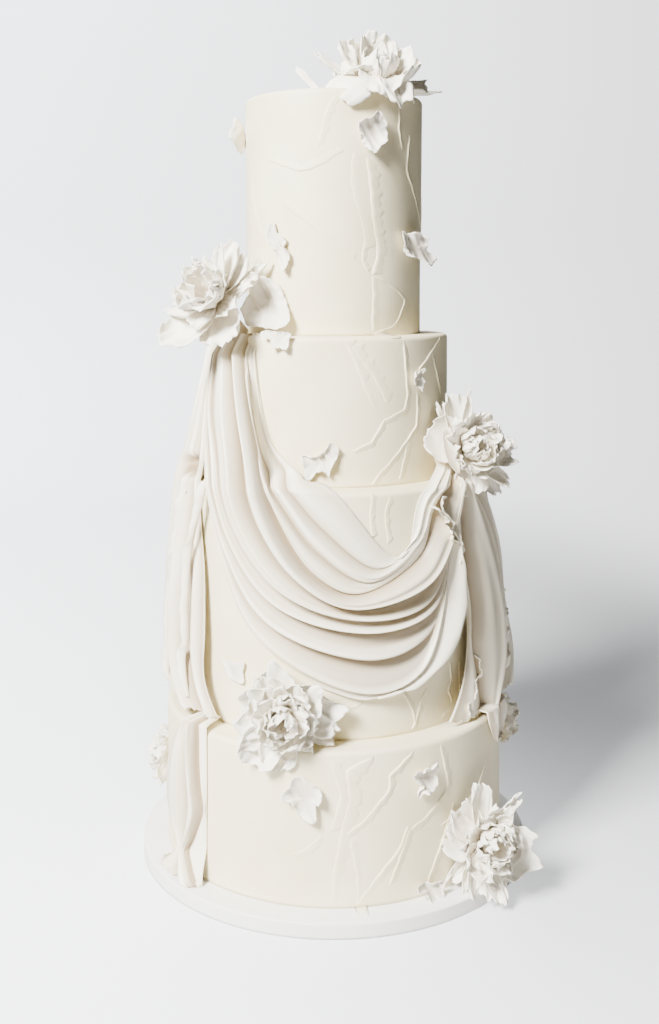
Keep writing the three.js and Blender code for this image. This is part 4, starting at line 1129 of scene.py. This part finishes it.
WALL_RADIUS, WALL_TOP, WALL_BEND = 2400.0, 2600.0, 700.0
FLOOR_RADIUS = WALL_RADIUS - WALL_BEND
FLOOR_STEPS, BEND_STEPS = 6, 16
bend = np.radians(np.linspace(0, 90, BEND_STEPS))
flat = np.linspace(300, FLOOR_RADIUS, FLOOR_STEPS)[:-1]
floor_r = np.concatenate([[PINHOLE], flat, FLOOR_RADIUS + WALL_BEND * np.sin(bend), [WALL_RADIUS]])
floor_z = np.concatenate([np.zeros(FLOOR_STEPS), WALL_BEND * (1 - np.cos(bend)), [WALL_TOP]])
pale = stage_finish("pale wall", (0.73, 0.76, 0.80), (0.42, 0.42, 0.43))
stage = mesh_object("floor_and_wall", *turned_over(floor_r, floor_z), pale)
stage.visible_shadow = False
stage.visible_diffuse = False
stage.visible_glossy = False

TABLE_DOWN = 0.4
table_r = np.array([PINHOLE, 300, 600, 900])
paint = bpy.data.materials.new("white table")
paint.use_nodes = True
fill(paint.node_tree, paint.node_tree.nodes["Principled BSDF"], {"Base Color": (0.6, 0.6, 0.6, 1)})
reflector = mesh_object("white_table", *turned_over(table_r, table_r * 0 - TABLE_DOWN), paint)
reflector.visible_camera = False

# %% Lights
MIDDLE = (0.0, 0.0, 0.38)
LIGHTS = {
    "window": dict(place=(-1.3, -1.6, 1.85), size=0.8, power=415, colour=(1.0, 0.985, 0.96)),
    "room": dict(place=(1.2, -1.6, 1.0), size=1.6, power=1.5, colour=(0.97, 0.98, 1.0)),
    "back window": dict(place=(-0.8, 2.1, 1.9), size=1.2, power=65, colour=(0.98, 0.99, 1.0)),
}


def soft_light(name, aim, place, size, power, colour):
    """A square soft light at a place, turned towards a point, both in metres."""
    data = bpy.data.lights.new(name, "AREA")
    data.size = size
    data.energy = power
    data.color = colour
    light = bpy.data.objects.new(name, data)
    light.location = place
    way = np.subtract(aim, place)
    tilt = math.acos(-way[2] / np.linalg.norm(way))
    light.rotation_euler = (tilt, 0, math.atan2(way[1], way[0]) - math.pi / 2)
    bpy.context.collection.objects.link(light)


for name, light in LIGHTS.items():
    soft_light(name, MIDDLE, **light)
world = bpy.data.worlds.new("room")
world.use_nodes = True
sky = {"Color": (0.93, 0.95, 1.0, 1), "Strength": 0.05}
fill(world.node_tree, world.node_tree.nodes["Background"], sky)
bpy.context.scene.world = world
